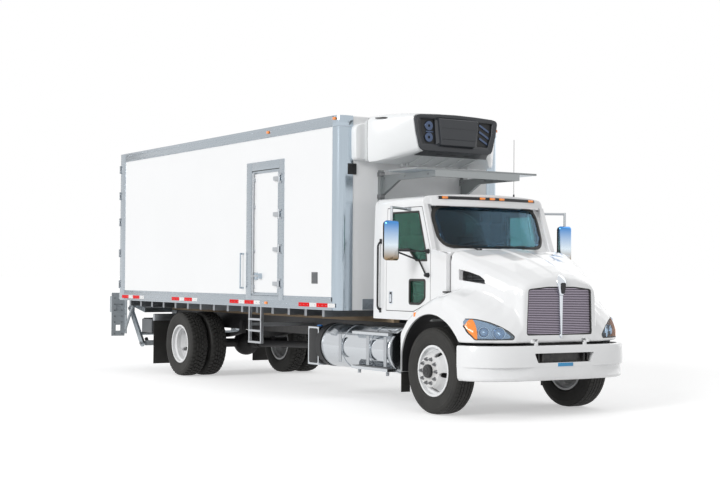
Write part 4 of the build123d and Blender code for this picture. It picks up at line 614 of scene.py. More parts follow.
def fitted_panel(name, colour, axis, limit):
    """White gel coat whose metal fittings stand beyond a plane across X or Y, whichever way out it is."""
    material, place = start_material(name)
    wave = add_node(material, "TexNoise", Vector=place, Scale=1.3, Detail=2.0)
    tone = add_node(material, "MapRange", Value=wave, To_Min=0.985, To_Max=1.015)
    white = add_node(material, "Mix", colour_product, _0=1.0, _6=linear(colour), _7=tone)
    across = add_node(material, "SeparateXYZ", Vector=place).outputs[axis]
    reach = add_node(material, "Math", {"operation": "ABSOLUTE"}, _0=across)
    beyond = add_node(material, "Math", {"operation": "GREATER_THAN"}, _0=reach, _1=limit)
    grain = add_node(material, "TexNoise", Vector=place, Scale=55.0, Detail=3.0)
    rough_metal = add_node(material, "MapRange", Value=grain, To_Min=0.22, To_Max=0.42)
    shown = add_node(material, "Mix", colour_mix, _0=beyond, _6=white, _7=linear("#B9BDC1"))
    rough = add_node(material, "Mix", {"data_type": "FLOAT"}, _0=beyond, _2=0.2, _3=rough_metal)
    bump = add_node(material, "Bump", Height=wave, Strength=0.25, Distance=0.004)
    shader = add_node(material, "BsdfPrincipled", Base_Color=shown, Metallic=beyond, Roughness=rough, Normal=bump)
    return end_material(material, shader)


wall_low, wall_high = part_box("box_wall_left")
box_half = wall_high.y
box_base_z = wall_low.z
box_top_z = wall_high.z
box_front_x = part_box("box_front_wall")[1].x
box_rear_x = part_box("rear_door_left")[1].x - 0.08
gel_coat = fitted_panel("gel_coat_white", "#F4F5F6", "Y", box_half + 0.0006)
rear_gel_coat = fitted_panel("gel_coat_white_rear", "#F1F2F3", "X", -box_rear_x + 0.0006)
dress(["box_roof", "box_front_wall", "box_wall_left", "box_wall_right", "side_door"], gel_coat)
dress(["rear_door_left", "rear_door_right"], rear_gel_coat)
floor_aluminium = metal("floor_aluminium_mill", "#9DA1A5", 0.4, streak=(0.3, 20.0, 20.0), scale=12.0)
dress(["box_floor"], floor_aluminium)
stainless_rear = metal("stainless_brushed_frame", "#B6BABE", 0.26, streak=(4.0, 4.0, 0.25), scale=40.0)
dress(["box_rear_frame"], stainless_rear)

# ---------------------------------------------------------------- box rails, posts and rivets
# Extruded aluminium rails along the top and bottom of each side, riveted through the panels,
# and bright stainless posts folded round the front corners.
rail_aluminium = metal("rail_aluminium_extruded", "#AEB6BD", 0.27, streak=(0.2, 12.0, 12.0), scale=16.0)
# The stainless is tinted blue: a painted reflection of open sky. The side door's latch and grab rod share it.
stainless_painted_sky_tint = metal("stainless_polished_painted_sky_tint", "#B4C0CA", 0.16, streak=(3.0, 3.0, 0.1), scale=14.0)
top_rail = [(1.27, 3.638), (1.27, 3.643), (1.298, 3.643), (1.304, 3.637), (1.304, 3.622), (1.3, 3.618),
            (1.3, 3.52), (1.303, 3.516), (1.303, 3.5), (1.2945, 3.5), (1.2945, 3.638)]
low_rail = [(1.2945, 1.322), (1.2985, 1.322), (1.3, 1.318), (1.3, 1.262), (1.304, 1.256), (1.304, 1.176),
            (1.309, 1.168), (1.309, 1.152), (1.2945, 1.152)]
rail_shift = box_half - 1.295
corner_radius = 0.11


def folded_corner(out):
    """Half the outline of the sheet that is folded round a front corner, moved out by a distance."""
    bend = [(box_front_x - corner_radius + (corner_radius + out) * sin(step * pi / 20),
             box_half - corner_radius + (corner_radius + out) * cos(step * pi / 20)) for step in range(11)]
    return [(box_front_x - 0.145, box_half + out)] + bend + [(box_front_x + out, box_half - 0.215)]


for side, side_name in sides:
    rails = []
    for outline in (top_rail, low_rail):
        points = [(side * (y + rail_shift), z) for y, z in outline]
        rails.append(prism(points, "X", box_rear_x + 0.19, box_front_x - 0.118, 0.0012))
    rear_post = [(box_rear_x - 0.003, side * (box_half - 0.02)), (box_rear_x - 0.003, side * (box_half + 0.006)),
                 (box_rear_x + 0.198, side * (box_half + 0.006)), (box_rear_x + 0.205, side * (box_half + 0.002)),
                 (box_rear_x + 0.205, side * (box_half - 0.002)), (box_rear_x + 0.01, side * (box_half - 0.002)),
                 (box_rear_x + 0.01, side * (box_half - 0.02))]
    rails.append(prism(rear_post, "Z", box_base_z - 0.002, box_top_z + 0.006, 0.001))
    finish(rails, f"box_rails_{side_name}", rail_aluminium)
    corner, outer = folded_corner(0.0), folded_corner(0.005)
    sheet = [(x, side * y) for x, y in outer + corner[::-1]]
    post = prism(sheet, "Z", box_base_z - 0.002, box_top_z - 0.135)
    cap_sheet = [(x + 0.004, side * (y + 0.004)) for x, y in outer] + [(x, side * y) for x, y in corner[::-1]]
    cap = prism(cap_sheet, "Z", box_top_z - 0.133, box_top_z + 0.006, 0.002)
    finish([post, cap], f"front_corner_post_{side_name}", stainless_painted_sky_tint)
    rivet = turned([(0.0, 0.0), (0.0065, 0.0), (0.0055, 0.002), (0.003, 0.0032), (0.0, 0.0034)], 8)
    if side < 0:
        put(rivet, Matrix.Rotation(pi, 4, "Z"))
    spots = []
    rail_span = (box_rear_x + 0.24, box_front_x - 0.17)
    rivet_count = 72
    for row_z in (3.508, 3.6, 1.3, 1.212):
        for step in range(rivet_count):
            x = rail_span[0] + (rail_span[1] - rail_span[0]) * step / (rivet_count - 1)
            spots.append(at(x, side * (box_half + (0.009 if row_z in (3.508, 1.212) else 0.0055)), row_z))
    for column_x in (box_rear_x + 0.03, box_rear_x + 0.17):
        for step in range(24):
            spots.append(at(column_x, side * (box_half + 0.006), 1.36 + step * 0.092))
    finish(repeat(rivet, spots), f"box_rivets_{side_name}", rail_aluminium)

# ---------------------------------------------------------------- front wall's lower cover and vent
# A folded stainless sheet covers the front wall's lower part, with a small louvred vent.
# The sheet and the vent are made apart and riveted through the wall's skin.
front_sheet = bar((box_front_x + 0.0005, -0.92, 1.162), (box_front_x + 0.004, 0.92, 1.3), 0.001)
finish(front_sheet, "front_wall_kick_plate", rail_aluminium)
vent_black = moulded("vent_black_nylon", "#1A1B1D", 0.5)
louvres = [bar((box_front_x + 0.004, -1.16, 2.89), (box_front_x + 0.012, -1.03, 3.03), 0.003)]
for step in range(6):
    z = 2.905 + step * 0.02
    louvres.append(bar((box_front_x + 0.01, -1.15, z), (box_front_x + 0.018, -1.04, z + 0.008), 0.001, 1))
finish(louvres, "front_wall_vent", vent_black)
side_vent_x = (axle_x - 2.45, axle_x - 2.3)
louvres = [bar((side_vent_x[0], -box_half - 0.006, 1.49), (side_vent_x[1], -box_half + 0.002, 1.64), 0.003)]
for step in range(7):
    z = 1.5 + step * 0.0195
    louvres.append(bar((side_vent_x[0] + 0.01, -box_half - 0.011, z),
                       (side_vent_x[1] - 0.01, -box_half - 0.004, z + 0.008), 0.001, 1))
vent_grey = moulded("vent_grey_nylon", "#6A6D70", 0.5)
finish(louvres, "side_wall_vent", vent_grey)

# ---------------------------------------------------------------- conspicuity tape and marker lamps
# Prismatic reflective tape, 50 mm wide, in red and white blocks, stuck along the bottom rails.
# Small amber and red marker lamps are screwed to the rails.


def reflective(name, colour, seam):
    """Prismatic sheeting: a clear face over small sealed cells about 3 mm across, with seams between them."""
    material, place = start_material(name)
    cells = add_node(material, "TexVoronoi", {"feature": "DISTANCE_TO_EDGE"}, Vector=place, Scale=320.0)
    edge = add_node(material, "MapRange", Value=cells.outputs["Distance"], From_Max=0.15)
    shown = add_node(material, "Mix", colour_mix, _0=edge, _6=linear(seam), _7=linear(colour))
    shader = add_node(material, "BsdfPrincipled", Base_Color=shown, Roughness=0.5, Specular_IOR_Level=0.15)
    return end_material(material, shader)


tape_red = reflective("reflective_sheeting_red", "#EE0A12", "#C80A10")
tape_white = reflective("reflective_sheeting_white", "#F5F5F5", "#D8D8D8")
red_block = 0.279
white_block = 0.178
tape_z = (1.188, 1.24)
for side, side_name in sides:
    for colour, material in (("red", tape_red), ("white", tape_white)):
        blocks = []
        for start in (-8.72, -6.73, -4.75, -2.77):
            x = axle_x + start
            for turn in range(2):
                red_end = x + red_block
                pair = (x, red_end - 0.001) if colour == "red" else (red_end, red_end + white_block - 0.001)
                blocks.append(bar((pair[0], side * (box_half + 0.0085), tape_z[0]),
                                  (pair[1], side * (box_half + 0.01), tape_z[1]), 0.0004, 1))
                x = red_end + white_block
        finish(blocks, f"tape_{colour}_{side_name}", material)


def lens(name, colour, glow):
    """A moulded acrylic lens: clear, deep colour over fine flutes."""
    material, place = start_material(name)
    flutes = add_node(material, "TexWave", Vector=place, Scale=90.0).outputs
    shown = add_node(material, "Mix", colour_product, _0=0.35, _6=linear(colour), _7=flutes["Color"])
    bump = add_node(material, "Bump", Height=flutes["Fac"], Strength=0.3, Distance=0.0008)
    shader = add_node(material, "BsdfPrincipled", Base_Color=shown, Roughness=0.12, Coat_Weight=1.0,
                      Emission_Color=linear(colour), Emission_Strength=glow, Normal=bump)
    return end_material(material, shader)


amber_lens = lens("lens_amber_acrylic", "#F58A1F", 0.25)
red_lens = lens("lens_red_acrylic", "#C3161B", 0.1)
lamps = []
# side sign, distance behind the front axle, height
for side, behind, z in ((-1, 3.657, 1.213), (1, 3.657, 1.213), (-1, 1.9, 3.6), (1, 1.9, 3.6), (-1, 3.64, 3.572)):
    x = axle_x - behind
    lamps.append(bar((x - 0.032, side * (box_half + 0.006), z - 0.019),
                     (x + 0.032, side * (box_half + 0.026), z + 0.019), 0.008, 3))
finish(lamps, "box_marker_lamps_amber", amber_lens)
lamps = []
for y in (-1.16, -0.14, 0.0, 0.14, 1.16):
    lamps.append(bar((box_rear_x - 0.02, y - 0.032, 3.555), (box_rear_x + 0.002, y + 0.032, 3.593), 0.008, 3))
for side in (1, -1):
    lamps.append(bar((box_rear_x - 0.395, side * 1.1, 0.74), (box_rear_x - 0.374, side * 1.235, 0.86), 0.01, 3))
finish(lamps, "tail_and_clearance_lamps", red_lens)

# ---------------------------------------------------------------- side door frame and seals
# An extruded aluminium door frame riveted into the wall, with a rubber seal round the leaf.
# The frame shines softly along the die's lines, and the seal is matt.
leaf = (axle_x - 4.085, axle_x - 3.32, 1.318, 3.052)
door_frame = (axle_x - 4.25, axle_x - 3.19, 1.25, 3.18)
wall_y = -box_half


def wider(edges, amount):
    """Edges (rear x, front x, low z, high z) moved out by an amount."""
    return (edges[0] - amount, edges[1] + amount, edges[2] - amount, edges[3] + amount)


def four_bars(outer, inner, low_y, high_y, bevel):
    """Two uprights over the full height, with a head and a sill between them."""
    spans = ((outer[0], inner[0], outer[2], outer[3]), (inner[1], outer[1], outer[2], outer[3]),
             (inner[0], inner[1], inner[3], outer[3]), (inner[0], inner[1], outer[2], inner[2]))
    return [bar((rear, low_y, low), (front, high_y, high), bevel) for rear, front, low, high in spans]


seal_rubber = rubber("seal_rubber_black", "#121213", 120.0, 0.55)
finish(four_bars(door_frame, wider(leaf, 0.009), wall_y - 0.014, wall_y + 0.002, 0.004), "side_door_frame",
       rail_aluminium)
finish(four_bars(wider(leaf, 0.0075), wider(leaf, 0.001), wall_y - 0.005, wall_y + 0.012, 0.002),
       "side_door_seal", seal_rubber, "side_door_leaf")
finish(four_bars(leaf, wider(leaf, -0.036), wall_y - 0.009, wall_y - 0.0005, 0.002), "side_door_edge_trim",
       rail_aluminium, "side_door_leaf")
handle_x = leaf[0] + 0.055
handle_parts = [
    bar((handle_x + 0.03, -box_half - 0.022, 1.53), (handle_x + 0.12, -box_half - 0.001, 1.63), 0.006),
    bar((handle_x + 0.19, -box_half - 0.05, 1.545), (handle_x + 0.235, -box_half - 0.001, 1.62), 0.006),
]
finish(handle_parts, "side_door_latch", stainless_painted_sky_tint, "side_door_leaf")
grab_x = axle_x - 4.345
grab = [
    prism([(grab_x + 0.011 * cos(2 * pi * step / 16), -box_half - 0.052 + 0.011 * sin(2 * pi * step / 16))
           for step in range(16)], "Z", 1.4, 1.91),
    bar((grab_x - 0.016, -box_half - 0.06, 1.4), (grab_x + 0.016, -box_half + 0.001, 1.425), 0.005),
    bar((grab_x - 0.016, -box_half - 0.06, 1.885), (grab_x + 0.016, -box_half + 0.001, 1.91), 0.005),
]
finish(grab, "side_door_grab_rod", stainless_painted_sky_tint)

# ---------------------------------------------------------------- cab shell
# Pressed and welded aluminium panels in gloss white two-pack paint, lined with dark grey trim.
# The roof is one pressing with rolled edges.
cab_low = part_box("cab_sides")[0]
cab_inside = ((cab_low.x + 0.045, -0.908, 1.1), (axle_x - 0.53, 0.908, 2.505))
cab_white = painted("cab_paint_gloss_white", "#F0F1F2", 0.16, coat=0.6, dust_top=0.9, dust_most=0.12,
                    inside=[cab_inside], trim_and_shade_colour="#484F52")
dress(["cab_sides", "cab_back_wall", "cab_floor", "door_left", "door_right"], cab_white)
# The cab front's faces behind the windshield are painted near black: painted shade, so that the glass over them reads
# dark.
front_painted_shade_boxes = [((axle_x - 0.7, -half, low_z), (axle_x - 0.1, half, 2.446))
                for half, low_z in ((0.8, 2.11), (0.7, 1.965), (0.76, 2.01))]
front_white = painted("cab_front_white_painted_shade", "#F0F1F2", 0.16, coat=0.6, inside=front_painted_shade_boxes, trim_and_shade_colour="#26282B")
dress(["cab_front"], front_white)
visor_white = painted("visor_gloss_white", "#F0F1F2", 0.18, coat=0.5)
rear_x = cab_low.x
roof_front_x = axle_x - 0.35
roof_radius = 3.1
roof_round = 0.075
# half section of the roof: distance out and height
roof_half_section = [(0.932, 2.466), (0.931, 2.5), (0.922, 2.53), (0.9, 2.552), (0.862, 2.565), (0.7, 2.579),
                     (0.45, 2.59), (0.2, 2.596), (0.0, 2.598)]
roof_section = roof_half_section + [(-y, z) for y, z in roof_half_section[-2::-1]]
roof_stations = [0.0, 0.006, 0.02, 0.042, 0.075, 0.3, 0.6, 0.9, 1.05, 1.12, 1.155]


def lofted(rows, closed=False):
    """A skin through rows of points, made from a grid. closed joins the last point of each row to its first."""
    deselect()
    across = len(rows[0]) + (1 if closed else 0)
    bpy.ops.mesh.primitive_grid_add(x_subdivisions=across - 1, y_subdivisions=len(rows) - 1, size=1.0)
    piece = bpy.context.object
    for place, vertex in enumerate(piece.data.vertices):
        row, column = divmod(place, across)
        vertex.co = rows[row][column % len(rows[0])]
    edit(lambda: bpy.ops.mesh.remove_doubles(threshold=0.00002))
    return piece


def thicken(piece, depth, smooth=35.0):
    """Gives a skin its wall, on its inner side, and smooths it."""
    modify(piece, "SOLIDIFY", thickness=depth, offset=-1.0)
    return shade(piece, smooth)


def facing(piece, *way):
    """Turns an open skin's faces so that most of them look one way."""
    if sum(face.normal.dot(Vector(way)) * face.area for face in piece.data.polygons) < 0:
        piece.data.flip_normals()
    return piece


rows = []
for station in roof_stations:
    short = max(0.0, roof_round - station)
    drop = roof_round - (roof_round ** 2 - short ** 2) ** 0.5
    row = []
    for y, z in roof_section:
        x = rear_x + station
        if station > 1.0:
            x = min(x, roof_front_x - roof_radius + (roof_radius ** 2 - y ** 2) ** 0.5)
        if station == roof_stations[-1]:
            x = roof_front_x - roof_radius + (roof_radius ** 2 - y ** 2) ** 0.5
        row.append((x, y * (1 - drop * 0.35), max(2.466, z - drop * min(1.0, (z - 2.466) / 0.06))))
    rows.append(row)
roof = thicken(facing(lofted(rows), 0, 0, 1), 0.004, 40.0)
nose_rows = []
for drop in (0.0, 0.012, 0.045, 0.09, 0.132):
    nose_rows.append([(roof_front_x - roof_radius + (roof_radius ** 2 - y ** 2) ** 0.5 + 0.004 * (drop > 0), y,
                       max(2.464, z - drop)) for y, z in roof_section])
brow = thicken(lofted(nose_rows), 0.004, 40.0)
finish([roof, brow], "cab_roof_pressing", cab_white)
dress(["cab_roof"], cab_white)

# ---------------------------------------------------------------- windshield, its rubber and wipers
# Laminated, faintly blue glass held in a wide black rubber, with two pantograph wipers.
# The matt rubber holds the glass in the cab's opening, and the wipers are enamelled steel.


def see_through(material, share, gloss, colour):
    """Ends a glass or clear plastic: a share of the light goes straight through, and the rest meets a glossy shader."""
    clear = add_node(material, "BsdfTransparent", Color=linear(colour))
    return end_material(material, add_node(material, "MixShader", _0=share, _1=gloss, _2=clear))


def tinted_glass(name, colour, share):
    """Tinted safety glass: see-through, with the tint in its transmission and a faint film of dust."""
    material, place = start_material(name)
    film = add_node(material, "TexNoise", Vector=place, Scale=5.0, Detail=4.0)
    rough = add_node(material, "MapRange", Value=film, To_Min=0.02, To_Max=0.06)
    pane = add_node(material, "BsdfPrincipled", Base_Color=linear(colour), Roughness=rough, IOR=1.5,
                    Transmission_Weight=1.0)
    return see_through(material, share, pane, colour)


screen_glass = tinted_glass("laminated_glass_blue_tint", "#B8D6E8", 0.6)
side_glass = tinted_glass("toughened_glass_green_tint", "#B4E4D6", 0.66)
dress(["door_glass_left", "door_glass_right"], side_glass)
screen_face = axle_x - 0.175


def on_screen(y, z, out):
    """A point on the windshield's curved sheet, moved out from its face."""
    return (screen_face + out - (z - 1.9) * 0.4 - 2.9 + (2.9 ** 2 - y ** 2) ** 0.5, y, z)


def rounded_outline(corners, radius, steps=6):
    """Rounds the corners of a closed outline of two-number points."""
    points = []
    for place, corner in enumerate(corners):
        before = Vector(corners[place - 1])
        after = Vector(corners[(place + 1) % len(corners)])
        here = Vector(corner)
        reach = min(radius, (before - here).length * 0.45, (after - here).length * 0.45)
        start = here + (before - here).normalized() * reach
        end = here + (after - here).normalized() * reach
        for step in range(steps + 1):
            share = step / steps
            points.append(tuple(start.lerp(here, share).lerp(here.lerp(end, share), share)))
    return points


def grown(corners, amount):
    """Moves each side of a closed outline outwards by an amount. Corners run anticlockwise."""
    result = []
    for place, corner in enumerate(corners):
        here = Vector(corner)
        before = (here - Vector(corners[place - 1])).normalized()
        after = (Vector(corners[(place + 1) % len(corners)]) - here).normalized()
        left = Vector((before.y, -before.x))
        right = Vector((after.y, -after.x))
        lean = (left + right).normalized()
        result.append(tuple(here + lean * (amount / max(0.35, lean.dot(left)))))
    return result


def hoop(loops):
    """A closed band through matching loops of points, made from a torus."""
    deselect()
    bpy.ops.mesh.primitive_torus_add(major_segments=len(loops[0]), minor_segments=len(loops))
    piece = bpy.context.object
    for place, vertex in enumerate(piece.data.vertices):
        around, loop = divmod(place, len(loops))
        vertex.co = loops[loop][around]
    edit()
    return shade(piece, 40)


def hoop_round(corners, radius, inner, outer, near, far, place):
    """A band round an outline: from inner to outer of it, and from near to far along its depth."""
    inside = rounded_outline(grown(corners, inner), max(0.004, radius + inner))
    outside = rounded_outline(grown(corners, outer), max(0.004, radius + outer))
    middle = rounded_outline(grown(corners, (inner + outer) / 2), max(0.004, radius + (inner + outer) / 2))
    crown = far + (far - near) * 0.18
    return hoop([[place(a, b, near) for a, b in inside], [place(a, b, far) for a, b in inside],
                 [place(a, b, crown) for a, b in middle], [place(a, b, far) for a, b in outside],
                 [place(a, b, near) for a, b in outside]])


screen_corners = [(-0.785, 1.966), (0.785, 1.966), (0.802, 2.436), (-0.802, 2.436)]
screen_rubber = hoop_round(screen_corners, 0.17, -0.008, 0.03, -0.004, 0.013, on_screen)
finish(screen_rubber, "windshield_rubber", seal_rubber)
pane_rows = []
for step in range(13):
    share = step / 12
    z = 1.966 + 0.47 * share
    half = 0.785 + 0.017 * share
    corner = max(0.0, 0.15 - min(z - 1.966, 2.436 - z)) / 0.15
    half -= 0.14 * (1 - (1 - corner ** 2) ** 0.5)
    pane_rows.append([on_screen(half * turn / 12, z, 0.006) for turn in range(-12, 13)])
pane = thicken(facing(lofted(pane_rows), 1, 0, 0), 0.004)
finish(pane, "windshield_glass", screen_glass)
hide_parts("windshield")
wiper_black = moulded("wiper_black_enamel", "#15161A", 0.4)


def round_bar(start, end, radius, vertices=12):
    """A round bar between two points."""
    deselect()
    start, end = Vector(start), Vector(end)
    way = end - start
    bpy.ops.mesh.primitive_cylinder_add(vertices=vertices, radius=radius, depth=way.length,
                                        location=(start + end) / 2, rotation=way.to_track_quat("Z", "Y").to_euler())
    piece = bpy.context.object
    bpy.ops.object.transform_apply()
    return shade(piece, 40)


wipers = []
for pivot_y, tip_y in ((0.36, 0.05), (-0.3, -0.58)):
    pivot = on_screen(pivot_y, 1.915, 0.02)
    elbow = on_screen((pivot_y + tip_y) / 2, 1.958, 0.028)
    wipers.append(round_bar(pivot, elbow, 0.006))
    wipers.append(round_bar((pivot[0], pivot[1] - 0.03, pivot[2]), elbow, 0.004))
    for share in range(6):
        y_a = elbow[1] - 0.26 + share * 0.0866
        wipers.append(round_bar(on_screen(y_a, 1.962 + 0.004 * abs(share - 2), 0.018),
                                on_screen(y_a + 0.0866, 1.962 + 0.004 * abs(share - 1), 0.018), 0.005, 8))
    hub = turned([(0.0, 0.0), (0.018, 0.0), (0.018, 0.02), (0.012, 0.026), (0.0, 0.026)], 20)
    wipers.append(put(hub, at(*pivot) @ Matrix.Rotation(-pi / 2, 4, "Z")))
finish(wipers, "windshield_wipers", wiper_black)

# ---------------------------------------------------------------- sun visor, roof lamps and antenna
# A white painted visor under the roof's brow, with a black lamp strip over it that holds five
# amber lamps, and a thin whip antenna behind.
dress(["sun_visor"], visor_white)


def on_brow(y, out):
    """How far forward the roof's front edge is, with a distance out from it."""
    return roof_front_x - roof_radius + ((roof_radius + out) ** 2 - y ** 2) ** 0.5


def brow_strip(section, half, smooth):
    """A strip that follows the roof's front edge, from a section of (height, distance out) points."""
    rows = [[(on_brow(y / 20 * half, out), y / 20 * half, z) for z, out in section] for y in range(-20, 21)]
    return shade(lofted(rows, closed=True), smooth)


strip_section = ((2.528, 0.002), (2.528, 0.019), (2.536, 0.024), (2.56, 0.02), (2.567, 0.006), (2.567, 0.002))
finish(brow_strip(strip_section, 0.745, 35), "roof_lamp_strip", wiper_black)
lamps = []
for y in (-0.665, -0.15, 0.0, 0.15, 0.665):
    x = on_brow(y, 0.018)
    lamps.append(bar((x - 0.02, y - 0.038, 2.533), (x + 0.022, y + 0.038, 2.562), 0.009, 3))
finish(lamps, "roof_marker_lamps", amber_lens)
lip_section = ((2.454, 0.006), (2.449, 0.012), (2.446, 0.02), (2.449, 0.027), (2.46, 0.0165), (2.457, 0.0145))
finish(brow_strip(lip_section, 0.834, 50), "sun_visor_lip", visor_white)
antenna = [
    round_bar((axle_x - 0.885, 0.8, 2.6), (axle_x - 0.885, 0.8, 3.37), 0.0028, 8),
    round_bar((axle_x - 0.885, 0.8, 2.56), (axle_x - 0.885, 0.8, 2.66), 0.011),
]
finish(antenna, "whip_antenna", wiper_black)

# ---------------------------------------------------------------- cab doors' seals, handles and rails
# Black rubber seals in the doors' shut lines and round the windows, recessed chrome paddle
# handles and a black coated grab rail behind each door.
cab_half = 0.95
cab_belt_z = 1.9
cab_lean = (0.95 - 0.932) / (2.47 - 1.9)


def cab_skin(side):
    """Makes a function that puts an (x, z) point on the cab's side, at a depth out from the skin."""
    return lambda x, z, out: (x, side * (cab_half - max(0.0, z - cab_belt_z) * cab_lean + out), z)


door_corners = [(axle_x - 1.22, 1.175), (axle_x - 0.64, 1.175), (axle_x - 0.3, 1.3), (axle_x - 0.3, 1.9),
                (axle_x - 0.5, 2.43), (axle_x - 1.22, 2.43)]
window_corners = [(axle_x - 1.14, 1.917), (axle_x - 0.74, 1.917), (axle_x - 0.59, 1.782), (axle_x - 0.365, 1.782),
                  (axle_x - 0.385, 1.9), (axle_x - 0.555, 2.38), (axle_x - 1.14, 2.38)]
peep_corners = [(axle_x - 0.722, 1.262), (axle_x - 0.505, 1.262), (axle_x - 0.4, 1.33), (axle_x - 0.4, 1.555),
                (axle_x - 0.722, 1.555)]
chrome = metal("chrome_plated_zinc", "#D7DCE2", 0.07, scale=80.0, spread=0.03, bump_mm=0.02, tint=0.03)
for side, side_name in sides:
    skin = cab_skin(side)
    door_seal = hoop_round(door_corners, 0.004, 0.0008, 0.0072, -0.03, -0.004, skin)
    finish(door_seal, f"cab_door_seal_{side_name}", seal_rubber)
    glass_seals = [hoop_round(window_corners, 0.006, -0.016, 0.006, -0.018, 0.004, skin),
                   hoop_round(peep_corners, 0.03, -0.018, 0.01, -0.018, 0.006, skin)]
    finish(glass_seals, f"door_window_seals_{side_name}", seal_rubber, f"cab_door_{side_name}")
    handle_corners = [(axle_x - 1.15, 1.255), (axle_x - 1.085, 1.255), (axle_x - 1.085, 1.41),
                      (axle_x - 1.15, 1.41)]
    surround = hoop_round(handle_corners, 0.02, -0.008, 0.004, -0.004, 0.006, skin)
    cup = bar((axle_x - 1.146, side * (cab_half - 0.004), 1.259), (axle_x - 1.089, side * (cab_half + 0.002), 1.406),
              0.002)
    paddle = bar((axle_x - 1.134, side * (cab_half + 0.002), 1.275), (axle_x - 1.101, side * (cab_half + 0.014), 1.372),
                 0.008, 3)
    finish(cup, f"door_handle_cup_{side_name}", wiper_black, f"cab_door_{side_name}")
    finish([surround, paddle], f"door_handle_{side_name}", chrome, f"cab_door_{side_name}")
    rail_out = 0.045
    rail_points = [(axle_x - 1.352, 1.17, 0.0), (axle_x - 1.352, 1.19, 0.03), (axle_x - 1.352, 1.225, rail_out),
                   (axle_x - 1.352, 1.97, rail_out), (axle_x - 1.352, 2.005, 0.03), (axle_x - 1.352, 2.03, 0.0)]
    runs = []
    for (x_a, z_a, out_a), (x_b, z_b, out_b) in zip(rail_points, rail_points[1:]):
        runs.append(round_bar(skin(x_a, z_a, out_a), skin(x_b, z_b, out_b), 0.0125))
    for z in (1.17, 2.03):
        runs.append(bar((axle_x - 1.375, side * (cab_half - 0.004), z - 0.03),
                        (axle_x - 1.329, side * (cab_half + 0.006), z + 0.03), 0.003))
    finish(runs, f"cab_grab_rail_{side_name}", wiper_black)

# ---------------------------------------------------------------- mirrors
# Chromed plastic mirror heads on round steel arms, carried by two black swivel pads on the door's
# front edge and a bracket at the roof rail.


def chrome_with_painted_reflection(name, sky, horizon, ground, low_z, high_z):
    """Bright chromium plate with a painted reflection: blue sky at the top, a pale horizon, and brown ground at the
    foot.
    """
    material, place = start_material(name)
    height = add_node(material, "SeparateXYZ", Vector=place).outputs["Z"]
    rise = add_node(material, "MapRange", Value=height, From_Min=low_z, From_Max=high_z)
    ramp = add_node(material, "ValToRGB", Fac=rise)
    stops = ramp.color_ramp.elements
    stops.new(0.4)
    for stop, position, colour in zip(stops, (0.05, 0.4, 0.95), (ground, horizon, sky)):
        stop.position = position
        stop.color = linear(colour)
    film = add_node(material, "TexNoise", Vector=place, Scale=30.0, Detail=3.0)
    rough = add_node(material, "MapRange", Value=film, To_Min=0.04, To_Max=0.12)
    return end_material(material, add_node(material, "BsdfPrincipled", Base_Color=ramp, Metallic=1.0, Roughness=rough))


mirror_x = axle_x - 0.537
mirror_y = 1.352
mirror_half = 0.103
mirror_z = (1.78, 2.255)
